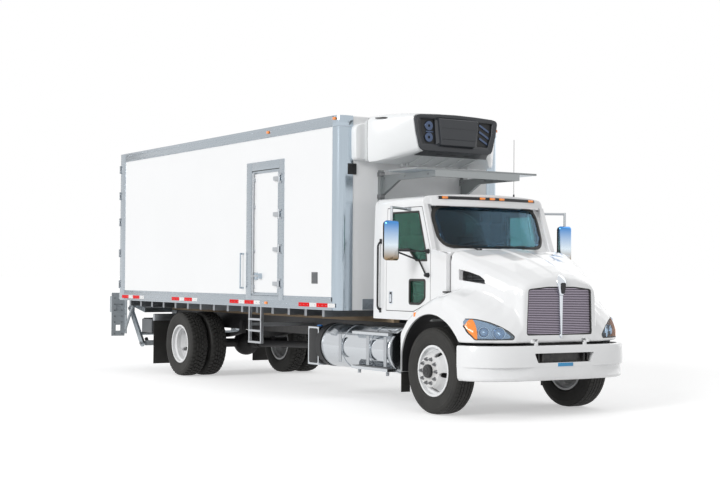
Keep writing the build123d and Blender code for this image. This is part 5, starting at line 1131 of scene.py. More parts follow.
# The mirror heads carry a painted reflection of sky, horizon and ground, running up their height.
mirror_chrome_painted_reflection = chrome_with_painted_reflection("chrome_shell_painted_reflection", "#4F8FD0", "#DCE9F3", "#9A8468", mirror_z[0], mirror_z[1])
mirror_glass = metal("mirror_glass_silvered", "#DDE3E6", 0.02, scale=20.0, spread=0.01, bump_mm=0.01, tint=0.02)
for side, side_name in sides:
    body = f"cab_door_{side_name}"
    skin = cab_skin(side)
    head = bar((mirror_x - 0.018, side * (mirror_y - mirror_half), mirror_z[0]),
               (mirror_x + 0.055, side * (mirror_y + mirror_half), mirror_z[1]), 0.034, 6)
    for vertex in head.data.vertices:
        if vertex.co.x > mirror_x + 0.015:
            share = (vertex.co.x - mirror_x - 0.015) / 0.04
            vertex.co.y = side * mirror_y + (vertex.co.y - side * mirror_y) * (1 - 0.16 * share)
            vertex.co.z = 2.0175 + (vertex.co.z - 2.0175) * (1 - 0.06 * share)
    finish(head, f"mirror_head_{side_name}", mirror_chrome_painted_reflection, body)
    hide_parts(f"mirror_{side_name}")
    frame_corners = [(side * mirror_y - 0.088, 1.8), (side * mirror_y + 0.088, 1.8),
                     (side * mirror_y + 0.088, 2.235), (side * mirror_y - 0.088, 2.235)]
    rim = hoop_round(frame_corners, 0.035, -0.004, 0.012, -0.004, 0.007,
                     lambda y, z, out: (mirror_x - 0.018 - out, y, z))
    finish(rim, f"mirror_rim_{side_name}", wiper_black, body)
    pane = prism(rounded_outline(frame_corners, 0.033), "X", mirror_x - 0.0205, mirror_x - 0.0165)
    finish(pane, f"mirror_glass_{side_name}", mirror_glass, body)
    bracket = []
    pad_x = axle_x - 0.338
    for z, knee_set, knee_z, reach_z in ((1.894, 0.395, 1.896, 1.9), (1.611, 0.48, 1.786, 1.88)):
        cone = turned([(0.0, 0.0), (0.03, 0.0), (0.03, 0.008), (0.024, 0.03), (0.018, 0.055), (0.0, 0.058)], 24)
        put(cone, at(pad_x, side * (cab_half - 0.001), z) @ Matrix.Scale(side, 4, (0, 1, 0)))
        knee = (axle_x - knee_set, side * (cab_half + 0.035), knee_z)
        tip = (mirror_x + 0.0175, side * (mirror_y - mirror_half + 0.011), reach_z)
        bracket += [cone, round_bar((pad_x, side * (cab_half + 0.035), z), knee, 0.0105), round_bar(knee, tip, 0.0105)]
        deselect()
        bpy.ops.mesh.primitive_uv_sphere_add(segments=16, ring_count=8, radius=0.0108, location=knee)
        bracket.append(bpy.context.object)
    finish(bracket, f"mirror_arms_{side_name}", wiper_black, body)
    post_x = mirror_x + 0.01
    upper = [bar((mirror_x - 0.262, side * 0.934, 2.394), (mirror_x - 0.178, side * 0.985, 2.43), 0.008, 3),
             round_bar((mirror_x - 0.22, side * 0.965, 2.412), (post_x, side * mirror_y, 2.412), 0.0155, 20),
             round_bar((post_x, side * mirror_y, 2.429), (post_x, side * mirror_y, 2.235), 0.0155, 20)]
    finish(upper, f"mirror_top_arm_{side_name}", dull_aluminium, body)

# ---------------------------------------------------------------- hood
# One-piece moulded fibreglass hood and fenders in gloss white gelcoat, with a low centre ridge, that
# tilts forward on two hinges behind the bumper. Black moulded liners fill the wheel arches.
hood_white = painted("hood_gelcoat_gloss_white", "#F0F1F2", 0.17, coat=0.6, dust_top=0.75, dust_most=0.1)
# ahead of the front axle, then half a section from the foot to the middle: distance out and height
hood_body = [
    (0.032, [(0.903, 1.1), (0.903, 1.55), (0.902, 1.76), (0.886, 1.845), (0.845, 1.888), (0.76, 1.906),
             (0.42, 1.92), (0.185, 1.926), (0.16, 1.938), (0.0, 1.941)]),
    (0.25, [(0.862, 1.0), (0.862, 1.45), (0.858, 1.65), (0.838, 1.745), (0.785, 1.8), (0.69, 1.832),
            (0.39, 1.862), (0.165, 1.873), (0.14, 1.887), (0.0, 1.89)]),
    (0.5, [(0.785, 0.93), (0.785, 1.36), (0.778, 1.54), (0.752, 1.635), (0.695, 1.695), (0.59, 1.738),
            (0.34, 1.783), (0.14, 1.797), (0.117, 1.811), (0.0, 1.815)]),
    (0.72, [(0.672, 0.88), (0.672, 1.28), (0.665, 1.44), (0.643, 1.53), (0.59, 1.592), (0.5, 1.64),
            (0.29, 1.696), (0.112, 1.715), (0.092, 1.728), (0.0, 1.732)]),
    (0.86, [(0.588, 0.856), (0.586, 1.24), (0.58, 1.4), (0.565, 1.478), (0.53, 1.53), (0.45, 1.572),
            (0.26, 1.625), (0.09, 1.646), (0.074, 1.657), (0.0, 1.66)]),
    (0.925, [(0.56, 0.852), (0.556, 1.22), (0.55, 1.38), (0.538, 1.45), (0.507, 1.492), (0.43, 1.53),
             (0.25, 1.577), (0.08, 1.598), (0.066, 1.606), (0.0, 1.608)]),
    (0.943, [(0.54, 0.852), (0.536, 1.22), (0.53, 1.37), (0.518, 1.43), (0.49, 1.466), (0.42, 1.5),
             (0.24, 1.543), (0.07, 1.562), (0.056, 1.566), (0.0, 1.568)]),
]
# ahead of the front axle, then a fender's section: inner, rise, crest, shoulder, outer, and its foot height
fender_rows = [
    (-0.602, (1.022, 0.955), (1.09, 0.962), (1.13, 0.952), (1.158, 0.925), (1.167, 0.88), 0.456),
    (-0.465, (1.022, 1.108), (1.09, 1.112), (1.135, 1.098), (1.162, 1.065), (1.17, 1.01), 0.456),
    (-0.35, (0.99, 1.19), (1.08, 1.19), (1.135, 1.172), (1.163, 1.135), (1.17, 1.08), 0.47),
    (-0.243, (0.968, 1.262), (1.08, 1.252), (1.133, 1.23), (1.163, 1.19), (1.17, 1.13), 0.5),
    (-0.1, (0.968, 1.345), (1.08, 1.32), (1.13, 1.294), (1.163, 1.252), (1.17, 1.19), 0.53),
    (0.028, (0.968, 1.4), (1.07, 1.372), (1.125, 1.342), (1.163, 1.296), (1.17, 1.23), 0.56),
    (0.225, (0.84, 1.47), (1.05, 1.41), (1.12, 1.368), (1.161, 1.31), (1.17, 1.235), 0.64),
    (0.43, (0.75, 1.465), (0.99, 1.36), (1.08, 1.3), (1.136, 1.225), (1.156, 1.13), 0.853),
    (0.6, (0.68, 1.4), (0.92, 1.275), (1.02, 1.2), (1.092, 1.12), (1.128, 1.03), 0.853),
    (0.7, (0.64, 1.34), (0.86, 1.205), (0.955, 1.135), (1.035, 1.06), (1.08, 0.98), 0.853),
    (0.8, (0.59, 1.26), (0.76, 1.125), (0.835, 1.07), (0.895, 1.01), (0.935, 0.945), 0.853),
    (0.875, (0.55, 1.15), (0.65, 1.05), (0.7, 1.005), (0.745, 0.96), (0.775, 0.92), 0.853),
    (0.915, (0.5, 1.05), (0.57, 0.98), (0.6, 0.95), (0.625, 0.925), (0.645, 0.9), 0.853),
]


def boolean(piece, tool, operation="DIFFERENCE", solver="MANIFOLD"):
    """Cuts a piece with a tool, which is then removed."""
    modify(piece, "BOOLEAN", operation=operation, solver=solver, object=tool)
    bpy.data.objects.remove(tool, do_unlink=True)
    return piece


def solid_loft(rows, smooth=None):
    """A closed solid through rows of points that each go round once: a tube with both ends filled."""
    piece = lofted(rows, closed=True)

    def close_ends():
        bpy.ops.mesh.select_all(action="DESELECT")
        bpy.ops.mesh.select_non_manifold()
        bpy.ops.mesh.edge_face_add()

    edit(close_ends, bpy.ops.mesh.quads_convert_to_tris)
    return shade(piece, smooth) if smooth else piece


def body_row(distance, half, inset=0.0, drop=0.0, back=0.0):
    """One full section of the hood's body, drawn in by an inset, with its foot let down."""
    section = [(max(0.0, y - inset), z - (drop if place == 0 else inset)) for place, (y, z) in enumerate(half)]
    points = section + [(-y, z) for y, z in section[-2::-1]]
    return [(axle_x + distance - back - 0.09 * y * y * (distance > 0.85), y, z) for y, z in points]


lofts = [solid_loft([body_row(distance, half) for distance, half in hood_body])]
for side, side_name in sides:
    rows = []
    for distance, inner, rise, crest, shoulder, outer, foot in fender_rows:
        section = [(inner[0], foot), inner, rise, crest, shoulder, outer, (outer[0], foot)]
        rows.append([(axle_x + distance, side * y, z) for y, z in section])
    lofts.append(solid_loft(rows))
hood_shell = join(lofts)
modify(hood_shell, "REMESH", mode="VOXEL", voxel_size=0.0115)
modify(hood_shell, "SMOOTH", factor=0.5, iterations=11)


def duplicate(piece):
    """A copy of a piece, left selected and active."""
    only(piece)
    bpy.ops.object.duplicate()
    return bpy.context.object


# the outer form before it is cut, kept for the headlamps' lenses
outer_form = duplicate(hood_shell)
inner_rows = []
for place, (distance, half) in enumerate(hood_body[:-1]):
    back = 0.1 if place == 0 else 0.03
    inner_rows.append(body_row(distance, half, inset=0.048, drop=0.6, back=back))
boolean(hood_shell, solid_loft(inner_rows))
arch_centre = (0.0, 0.57)
arch_radius = 0.59


def across(outline, low, high):
    """A prism across the truck from an (x, z) outline measured from the front axle."""
    return prism([(axle_x + x, z) for x, z in outline], "Y", low, high)


arch_outline = [(arch_radius * cos(pi * step / 40), arch_centre[1] + arch_radius * sin(pi * step / 40))
                for step in range(41)]
arch_outline = [(0.54, 0.36), (0.54, arch_centre[1])] + arch_outline[1:-1]
arch_outline += [(-0.584, arch_centre[1]), (-0.583, 0.36)]
boolean(hood_shell, across(arch_outline, -1.25, 1.25))
grille_corners = [(-0.494, 0.938), (0.494, 0.938), (0.474, 1.462), (0.2, 1.49), (-0.2, 1.49), (-0.474, 1.462)]
opening = rounded_outline(grille_corners, 0.038)
boolean(hood_shell, prism(opening, "X", axle_x + 0.8, axle_x + 1.0))
lamp_corners = [(0.655, 0.93), (0.672, 0.896), (1.066, 0.892), (1.112, 0.975), (1.138, 1.092), (1.118, 1.122),
                (1.02, 1.12), (0.9, 1.086), (0.79, 1.034), (0.705, 0.978)]


def lamp_block(side, grow, back):
    """A block with a headlamp's outline, grown by an amount, that reaches back to a distance."""
    outline = rounded_outline(grown(lamp_corners, grow), 0.022)
    return prism([(side * y, z) for y, z in outline], "X", axle_x + back, axle_x + 1.04)


vent_corners = [(0.16, 1.684), (0.164, 1.558), (0.52, 1.512), (0.506, 1.56), (0.44, 1.606), (0.31, 1.65)]
for side, side_name in sides:
    boolean(hood_shell, lamp_block(side, 0.006, 0.575))
    vent_low, vent_high = sorted((side * 0.55, side * 1.0))
    boolean(hood_shell, across(rounded_outline(vent_corners, 0.014), vent_low, vent_high))
    boolean(hood_shell, bar((axle_x + 0.88, side * 0.33, 0.8), (axle_x + 0.97, side * 0.397, 0.895), 0.0))
finish(shade(hood_shell, 30), "hood_shell", hood_white, "hood_body")
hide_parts("hood")
ears = []
for side, side_name in sides:
    ears.append(bar((axle_x + 0.9, side * 0.397, 0.852), (axle_x + 0.942, side * 0.427, 0.885), 0.004))
    ears.append(round_bar((axle_x + 0.93, side * 0.342, 0.86), (axle_x + 0.93, side * 0.405, 0.86), 0.0098))
finish(ears, "hood_hinge_ears", hood_white, "hood_body")
liner_black = moulded("arch_liner_polyethylene", "#1B1C1E", 0.6)
for side, side_name in sides:
    rows = []
    for step in range(33):
        turn = radians(-4 + step * 5.75)
        radius = arch_radius - 0.004
        x = max(-0.578, radius * cos(turn))
        rows.append([(axle_x + x, side * out, max(0.5, arch_centre[1] + radius * sin(turn)))
                     for out in (0.66, 0.8, 0.97, 1.15)])
    rows.append([(axle_x - 0.578, side * out, 0.462) for out in (1.03, 1.06, 1.09, 1.15)])
    liner = thicken(lofted(rows), 0.004)
    finish(liner, f"arch_liner_{side_name}", liner_black, "hood_body")
    marker = bar((axle_x - 0.332, side * 1.15, 1.118), (axle_x - 0.292, side * 1.1699, 1.172), 0.008, 3)
    finish(marker, f"fender_marker_{side_name}", amber_lens, "hood_body")
    vent_low, vent_high = sorted((side * 0.65, side * 0.672))
    slats = [across(rounded_outline(grown(vent_corners, 0.012), 0.02), vent_low, vent_high)]
    vent_low, vent_high = sorted((side * 0.665, side * 0.745))
    for step in range(4):
        z = 1.532 + step * 0.03
        reach = 0.5 - step * 0.06
        slats.append(across([(0.15, z), (reach, z), (reach, z + 0.006), (0.15, z + 0.006)], vent_low, vent_high))
    finish(slats, f"hood_side_vent_{side_name}", vent_grey, "hood_body")
    latch = bar((axle_x - 0.028, side * 0.905, 1.408), (axle_x + 0.06, side * 0.972, 1.424), 0.005)
    finish(latch, f"hood_latch_{side_name}", rubber("latch_rubber", "#141416", 260.0), "hood_body")

# ---------------------------------------------------------------- headlamps
# Clear moulded lenses over chromed reflector bowls and an amber turn signal, in a black gasket.
# The clear lens is glossy over a bright reflector, and the bezel round it is satin.


def clear_lens(name, colour, share):
    """A clear moulded cover: mostly see-through, with a gloss reflection and faint moulded flutes."""
    material, place = start_material(name)
    flutes = add_node(material, "TexWave", {"bands_direction": "Y"}, Vector=place, Scale=14.0, Distortion=0.2)
    bump = add_node(material, "Bump", Height=flutes.outputs["Fac"], Strength=0.05, Distance=0.001)
    gloss = add_node(material, "BsdfPrincipled", Base_Color=linear(colour), Roughness=0.03, IOR=1.5, Normal=bump)
    return see_through(material, share, gloss, colour)


lens_clear = clear_lens("polycarbonate_clear", "#E8F1F8", 0.86)
# The reflector and the bezel are tinted blue: a painted reflection of open sky.
reflector = metal("aluminised_reflector_painted_sky_tint", "#C4D2E0", 0.1, scale=60.0, spread=0.05, bump_mm=0.1, tint=0.05)
bezel_painted_sky_tint = metal("lamp_bezel_satin_painted_sky_tint", "#8FA3B8", 0.22, scale=60.0, spread=0.08, bump_mm=0.1, tint=0.1)
for side, side_name in sides:
    pieces = []
    for part_name, low_y, high_y, material, slot in (
        ("lens", 0.6, 1.04, lens_clear, "lamp_lens"), ("turn_signal", 1.043, 1.2, amber_lens, "lamp_lens")):
        lens_piece = boolean(duplicate(outer_form), lamp_block(side, -0.0045, 0.578), "INTERSECT")
        boolean(lens_piece, bar((axle_x + 0.5, side * low_y, 0.8),
                                (axle_x + 1.1, side * high_y, 1.2), 0.0), "INTERSECT")
        if part_name == "lens" and side > 0:
            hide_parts("headlamps")
        finish(shade(lens_piece, 30), f"headlamp_{part_name}_{side_name}", material, "hood_body")
    gasket = boolean(duplicate(outer_form), lamp_block(side, 0.0052, 0.5765), "INTERSECT")
    boolean(gasket, lamp_block(side, -0.004, 0.5))
    finish(gasket, f"headlamp_gasket_{side_name}", seal_rubber, "hood_body")
    bowls = []
    for y, z, x, radius in ((0.795, 0.962, 0.8, 0.066), (0.945, 0.975, 0.715, 0.056)):
        bowl = turned([(0.012, -0.03), (radius * 0.62, -0.016), (radius * 0.9, 0.006), (radius, 0.03),
                       (radius + 0.005, 0.03), (radius + 0.005, -0.034), (0.012, -0.034)], 36)
        bulb = turned([(0.0, 0.02), (0.01, 0.016), (0.016, 0.004), (0.018, -0.01), (0.016, -0.028), (0.0, -0.03)],
                      24)
        spot = at(axle_x + x, side * y, z) @ Matrix.Rotation(radians(-90 + 38 * side), 4, "Z")
        bowls += [put(bowl, spot), put(bulb, spot)]
    finish(bowls, f"headlamp_bowls_{side_name}", reflector, "hood_body")
    back = [(side * y, z) for y, z in rounded_outline(grown(lamp_corners, -0.004), 0.02)]
    tray = prism(back, "X", axle_x + 0.579, axle_x + 0.585)
    for vertex in tray.data.vertices:
        vertex.co.x += 0.55 * max(0.0, 1.14 - abs(vertex.co.y)) - 0.002
    finish(tray, f"headlamp_backing_{side_name}", bezel_painted_sky_tint, "hood_body")
bpy.data.objects.remove(outer_form, do_unlink=True)

# ---------------------------------------------------------------- grille
# Fine extruded louvres in two panels behind a black rubber edge, with a chromed centre bar and a plain
# chromed shield over the hood's front edge.
grille_alloy = metal("anodised_grille_alloy", "#A9A1AE", 0.38, scale=120.0, spread=0.1, bump_mm=0.1, tint=0.12)
nose_x = axle_x + 0.912


def on_nose(y, z, out):
    """A point on the grille's gently bowed face."""
    return (nose_x - 0.09 * y * y + out, y, z)


louvres = []
louvre_count = 27
for step in range(louvre_count):
    z = 0.952 + step * 0.0196
    half = 0.482 - 0.022 * (z - 0.938) / 0.524
    rows = []
    for share in range(-6, 7):
        y = half * share / 6
        rows.append([on_nose(y, z, 0.0), on_nose(y, z + 0.0015, 0.01), on_nose(y, z + 0.0105, 0.012),
                     on_nose(y, z + 0.012, 0.0)])
    louvres.append(lofted(rows, closed=True))
# The backing is a dark sheet behind the louvres: painted shadow between them.
backing = lofted([[on_nose(y / 4 * 0.486, z, -0.006) for y in range(-4, 5)] for z in (0.942, 1.2, 1.478)])
grille_painted_shadow = metal("grille_backing_painted_shadow", "#5A5460", 0.6, scale=220.0, spread=0.15, bump_mm=0.3, tint=0.2)
finish(thicken(backing, 0.003), "grille_backing", grille_painted_shadow, "hood_body")
louvre_field = finish(louvres, "grille_louvres", grille_alloy, "hood_body")
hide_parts("grille")
edge = hoop_round(grille_corners, 0.036, -0.016, 0.001, -0.004, 0.02, on_nose)
finish(edge, "grille_rubber_edge", seal_rubber, "hood_body")
bar_rows = []
for z, half in ((0.905, 0.004), (0.93, 0.011), (1.0, 0.014), (1.15, 0.018), (1.3, 0.022), (1.42, 0.026),
                (1.46, 0.026)):
    bar_rows.append([on_nose(-half, z, 0.005), on_nose(-half, z, 0.026), on_nose(-half * 0.6, z, 0.036),
                     on_nose(half * 0.6, z, 0.036), on_nose(half, z, 0.026), on_nose(half, z, 0.005)])
centre_bar = solid_loft(bar_rows, 50)
# the shield: height, half width and how far its middle stands proud of the bowed face
shield_rows = []
for z, half, out in ((1.385, 0.02, 0.04), (1.4, 0.036, 0.05), (1.445, 0.044, 0.058), (1.49, 0.056, 0.062),
                     (1.53, 0.07, 0.06), (1.565, 0.07, 0.05), (1.597, 0.06, 0.03), (1.622, 0.045, 0.0),
                     (1.64, 0.026, -0.04)):
    shield_rows.append([on_nose(half * cos(pi * turn / 8), z, out - 0.03 + 0.03 * sin(pi * turn / 8))
                        for turn in range(9)] + [on_nose(-half * 0.9, z - 0.012, out - 0.06),
                                                 on_nose(half * 0.9, z - 0.012, out - 0.06)])
finish([centre_bar, solid_loft(shield_rows, 60)], "grille_centre_bar", chrome, "hood_body")
inlay = prism(rounded_outline([(-0.018, 1.408), (0.018, 1.408), (0.036, 1.48), (0.036, 1.535), (-0.036, 1.535),
                               (-0.036, 1.48)], 0.018), "X", nose_x + 0.03, nose_x + 0.0635)
finish(inlay, "grille_shield_inlay", wiper_black, "hood_body")

# ---------------------------------------------------------------- front bumper
# Moulded bumper in gloss white: a flat upper band, and a lower band with long shallow pockets at its
# ends. The cooling slot is lined in black, with a small blank blue plate under it.
bumper_plan_half = [(1.0165, 0.0), (1.0145, 0.2), (1.009, 0.4), (1.004, 0.5), (0.992, 0.64), (0.976, 0.74),
                    (0.955, 0.83), (0.925, 0.915), (0.885, 0.99), (0.835, 1.055), (0.775, 1.11), (0.715, 1.15),
                    (0.655, 1.174), (0.6, 1.185), (0.542, 1.19)]
pocket_depth = [0.0, 0.0, 0.0, 0.008, 0.026, 0.03, 0.03, 0.028, 0.024, 0.019, 0.013, 0.007, 0.003, 0.0, 0.0]
plan = [(x, -y) for x, y in bumper_plan_half[:0:-1]] + bumper_plan_half
pockets = pocket_depth[:0:-1] + pocket_depth
rows = []
for place, ((x, y), pocket) in enumerate(zip(plan, pockets)):
    before = Vector(plan[max(0, place - 1)])
    after = Vector(plan[min(len(plan) - 1, place + 1)])
    way = (after - before).normalized()
    out = Vector((way.y, -way.x))
    section = [(-0.068, 0.826), (-0.016, 0.826), (-0.005, 0.821), (0.0, 0.808), (0.0, 0.7), (0.0, 0.6),
               (-0.001, 0.588), (-0.003 - pocket * 0.9, 0.58), (-0.004 - pocket * 1.2, 0.572),
               (-0.006 - pocket * 1.1, 0.53), (-0.009 - pocket * 0.6, 0.488), (-0.012 - pocket * 0.1, 0.462),
               (-0.02, 0.44), (-0.036, 0.4305), (-0.068, 0.4305)]
    rows.append([(axle_x + x + out.x * shift, y + out.y * shift, z) for shift, z in section])
bumper_shell = solid_loft(rows)
slot_corners = [(-0.398, 0.632), (0.398, 0.632), (0.446, 0.74), (-0.446, 0.74)]
boolean(bumper_shell, prism(rounded_outline(slot_corners, 0.016), "X", axle_x + 0.8, axle_x + 1.1), solver="EXACT")
for side, side_name in sides:
    chin = [(side * 1.13, 0.4), (side * 1.23, 0.4), (side * 1.23, 0.53)]
    boolean(bumper_shell, prism(chin, "X", axle_x + 0.5, axle_x + 1.1), solver="EXACT")
finish(shade(bumper_shell, 28), "bumper_shell", hood_white)
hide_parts("front_bumper")
bumper_back = [bar((axle_x + 0.93, -0.46, 0.615), (axle_x + 0.945, 0.46, 0.757), 0.002)]
for side, side_name in sides:
    for y in (0.3, 0.36):
        bumper_back.append(bar((axle_x + 0.942, side * y, 0.64), (axle_x + 0.985, side * (y + 0.018), 0.735), 0.004))
    bumper_back.append(bar((axle_x + 0.62, side * 0.31, 0.5), (axle_x + 0.95, side * 0.42, 0.72), 0.004))
finish(bumper_back, "bumper_brackets", chassis_paint)
lugs = [bar((axle_x + 0.918, side * 0.342, 0.8), (axle_x + 0.942, side * 0.388, 0.872), 0.004)
        for side in (1, -1)]
finish(lugs, "bumper_hinge_lugs", hood_white)
tag = bar((axle_x + 1.004, -0.112, 0.588), (axle_x + 1.0198, 0.112, 0.628), 0.001)
tag_blue = moulded("blank_plate_blue", "#2C8FC4", 0.35, coat=0.3)
finish(tag, "bumper_blank_plate", tag_blue)

# ---------------------------------------------------------------- refrigeration unit
# Nose-mounted unit: a gloss white moulded cowl over a sheet metal frame, a rear mounting cover in the
# same white, and a ribbed light grey tray underneath.
unit_white = painted("unit_gelcoat_gloss_white", "#F1F3F4", 0.18, coat=0.5)
# behind the front axle, then half a section from the foot to the middle: distance out and height
cowl_rows = [
    (1.6, [(0.935, 3.036), (0.975, 3.042), (0.992, 3.07), (0.998, 3.3), (0.998, 3.535), (0.985, 3.58),
             (0.945, 3.615), (0.86, 3.636), (0.45, 3.662), (0.0, 3.67)]),
    (1.5, [(0.88, 3.044), (0.92, 3.052), (0.938, 3.085), (0.944, 3.31), (0.944, 3.55), (0.93, 3.596),
             (0.89, 3.628), (0.8, 3.646), (0.42, 3.666), (0.0, 3.673)]),
    (1.3, [(0.715, 3.095), (0.76, 3.106), (0.784, 3.14), (0.806, 3.35), (0.812, 3.565), (0.8, 3.606),
             (0.765, 3.634), (0.69, 3.648), (0.36, 3.666), (0.0, 3.672)]),
    (1.15, [(0.575, 3.14), (0.62, 3.152), (0.646, 3.188), (0.69, 3.38), (0.712, 3.57), (0.704, 3.606),
             (0.675, 3.63), (0.62, 3.642), (0.32, 3.658), (0.0, 3.664)]),
    (1.08, [(0.522, 3.166), (0.56, 3.178), (0.584, 3.212), (0.632, 3.4), (0.66, 3.568), (0.654, 3.6),
             (0.632, 3.62), (0.58, 3.632), (0.3, 3.646), (0.0, 3.652)]),
]


def unit_row(behind, half):
    """One full section of the unit, from its left foot over the top to its right foot."""
    return [(axle_x - behind, y, z) for y, z in half] + \
        [(axle_x - behind, -y, z) for y, z in half[-2::-1]]


cowl = solid_loft([unit_row(behind, half) for behind, half in cowl_rows], 38)
finish(cowl, "unit_cowl", unit_white)
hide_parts("reefer_housing")
unit_middle_z = 3.2
rear_half = [(1.05, 3.072), (1.085, 3.078), (1.104, 3.105), (1.109, 3.3), (1.109, 3.455), (1.1, 3.495),
             (1.07, 3.525), (1.0, 3.545), (0.5, 3.58), (0.0, 3.592)]
cover_rows = []
for behind, drawn in ((1.809, 0.0), (1.735, 0.0), (1.712, 0.012), (1.704, 0.04)):
    cover_rows.append(unit_row(behind, [(max(0.0, y - drawn), z + (drawn if z < unit_middle_z else -drawn))
                                        for y, z in rear_half]))
cover = solid_loft(cover_rows, 38)
middle_half = [(y - 0.03 if y > 0.03 else y, z + 0.02 if z < unit_middle_z else z - 0.02) for y, z in cowl_rows[0][1]]
middle = solid_loft([unit_row(1.72, middle_half), unit_row(1.606, middle_half)])
grey_tray = painted("unit_frame_pale_grey", "#D9DCDD", 0.35, coat=0.2)
finish(cover, "unit_mounting_cover", unit_white)
finish(middle, "unit_side_frame", grey_tray)
finish(solid_loft([unit_row(behind, cowl_rows[0][1]) for behind in (1.607, 1.6)]), "unit_cowl_seal", seal_rubber)
ribs = []
for step in range(5):
    y = (step - 2) * 0.215
    rib_rows = []
    for behind, z in ((1.57, 3.03), (1.5, 3.036), (1.3, 3.087), (1.2, 3.117)):
        rib_rows.append([(axle_x - behind, y - 0.016, z), (axle_x - behind, y - 0.009, z - 0.012),
                         (axle_x - behind, y + 0.009, z - 0.012), (axle_x - behind, y + 0.016, z)])
    ribs.append(solid_loft(rib_rows))
tray_rows = [(1.6, 0.915, 3.031), (1.5, 0.865, 3.039), (1.3, 0.705, 3.09), (1.19, 0.6, 3.123)]
tray = lofted([[(axle_x - behind, y / 6 * half, z) for y in range(-6, 7)]
               for behind, half, z in tray_rows])
ribs.append(thicken(facing(tray, 0, 0, -1), 0.003))
for x_set, y, size in ((-1.52, -0.52, 0.035), (-1.49, -0.46, 0.028), (-1.54, 0.55, 0.03)):
    ribs.append(round_bar((axle_x + x_set, y, 3.0), (axle_x + x_set, y, 3.05), size / 2, 16))
finish(ribs, "unit_ribbed_tray", grey_tray)
vent_slot = bar((axle_x - 1.5, -0.955, 3.585), (axle_x - 1.37, -0.86, 3.597), 0.004)
for vertex in vent_slot.data.vertices:
    vertex.co.y += 0.42 * (vertex.co.x - (axle_x - 1.5))
finish(vent_slot, "unit_side_vent", vent_black)

# ---------------------------------------------------------------- refrigeration unit's grille
# Charcoal moulded front with a ribbed middle block, and two openings that show the condenser's fans.
# The plastic is slightly dull, and the guards over the fans are a dark blue grey.
charcoal = moulded("charcoal_front_moulding", "#303338", 0.42, coat=0.15)
front_x = axle_x - 1.08


def on_front(y, z, out):
    """A point on the unit's slightly raked, bowed front."""
    return (front_x + out + 0.014 - 0.03 * y * y - 0.05 * abs(z - 3.42), y, z)


face_half = [(0.51, 3.176), (0.548, 3.19), (0.572, 3.222), (0.622, 3.41), (0.648, 3.566), (0.642, 3.594),
             (0.622, 3.612), (0.57, 3.624), (0.3, 3.638), (0.0, 3.644)]
face_outline = face_half + [(-y, z) for y, z in face_half[-2::-1]]
front = prism(face_outline, "X", front_x - 0.004, front_x + 0.034)
for side, side_name in sides:
    hole = [(side * y, z) for y, z in ((0.318, 3.262), (0.5, 3.262), (0.562, 3.43), (0.572, 3.572), (0.345, 3.572))]
    boolean(front, prism(rounded_outline(hole, 0.018), "X", front_x - 0.02, front_x + 0.1), solver="EXACT")
block_corners = [(-0.27, 3.245), (0.27, 3.245), (0.315, 3.59), (-0.315, 3.59)]
block_rows = [[on_front(y, z, out) for y, z in rounded_outline(grown(block_corners, grow), 0.012)]
              for out, grow in ((0.03, 0.0), (0.06, -0.004), (0.066, -0.012))]
block = solid_loft(block_rows)
parts_list = [front, block]
for z in (3.335, 3.475):
    ledge = [(front_x + 0.05, z), (front_x + 0.0745, z - 0.004), (front_x + 0.05, z - 0.052)]
    parts_list.append(prism(ledge, "Y", -0.262, 0.262))
chin = lofted([[(front_x + out, y / 6 * half, z) for y in range(-6, 7)]
               for out, half, z in ((0.033, 0.508, 3.175), (-0.004, 0.52, 3.158), (-0.1, 0.572, 3.119))])
parts_list.append(thicken(facing(chin, 0, 0, -1), 0.004))
grille_piece = finish(parts_list, "unit_front_moulding", charcoal)
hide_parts("reefer_grille")
# A black sheet behind the front's openings, and three black slots in the chin: painted shade of the unit's dark
# insides.
recess = [bar((front_x + 0.001, -0.58, 3.25), (front_x + 0.003, 0.58, 3.585), 0.0)]
for y in (-0.22, 0.0, 0.22):
    slot = bar((-0.01, y - 0.045, -0.002), (0.01, y + 0.045, 0.001), 0.0005)
    recess.append(put(slot, at(front_x - 0.045, 0.0, 3.1413) @ Matrix.Rotation(radians(-22.1), 4, "Y")))
finish(recess, "unit_front_painted_shade", vent_black)
coil_blue = metal("condenser_fan_guard", "#56627A", 0.35, scale=60.0, spread=0.2, bump_mm=0.2, tint=0.3)
fans = []
for z in (3.345, 3.49):
    fan = turned([(0.018, 0.0), (0.018, 0.008), (0.058, 0.01), (0.062, 0.004), (0.058, 0.0)], 28)
    fans.append(put(fan, at(front_x + 0.006, -0.425, z) @ Matrix.Rotation(-pi / 2, 4, "Z")))
fans.append(bar((front_x + 0.004, -0.47, 3.408), (front_x + 0.012, -0.35, 3.424), 0.003))
for step in range(3):
    slat = bar((front_x + 0.004, 0.36, -0.014), (front_x + 0.016, 0.54, 0.014), 0.003)
    fans.append(put(slat, at(0, 0.45, 3.335 + step * 0.085) @ Matrix.Rotation(radians(-28), 4, "X") @ at(0, -0.45, 0)))
finish(fans, "unit_fans_and_slats", coil_blue)

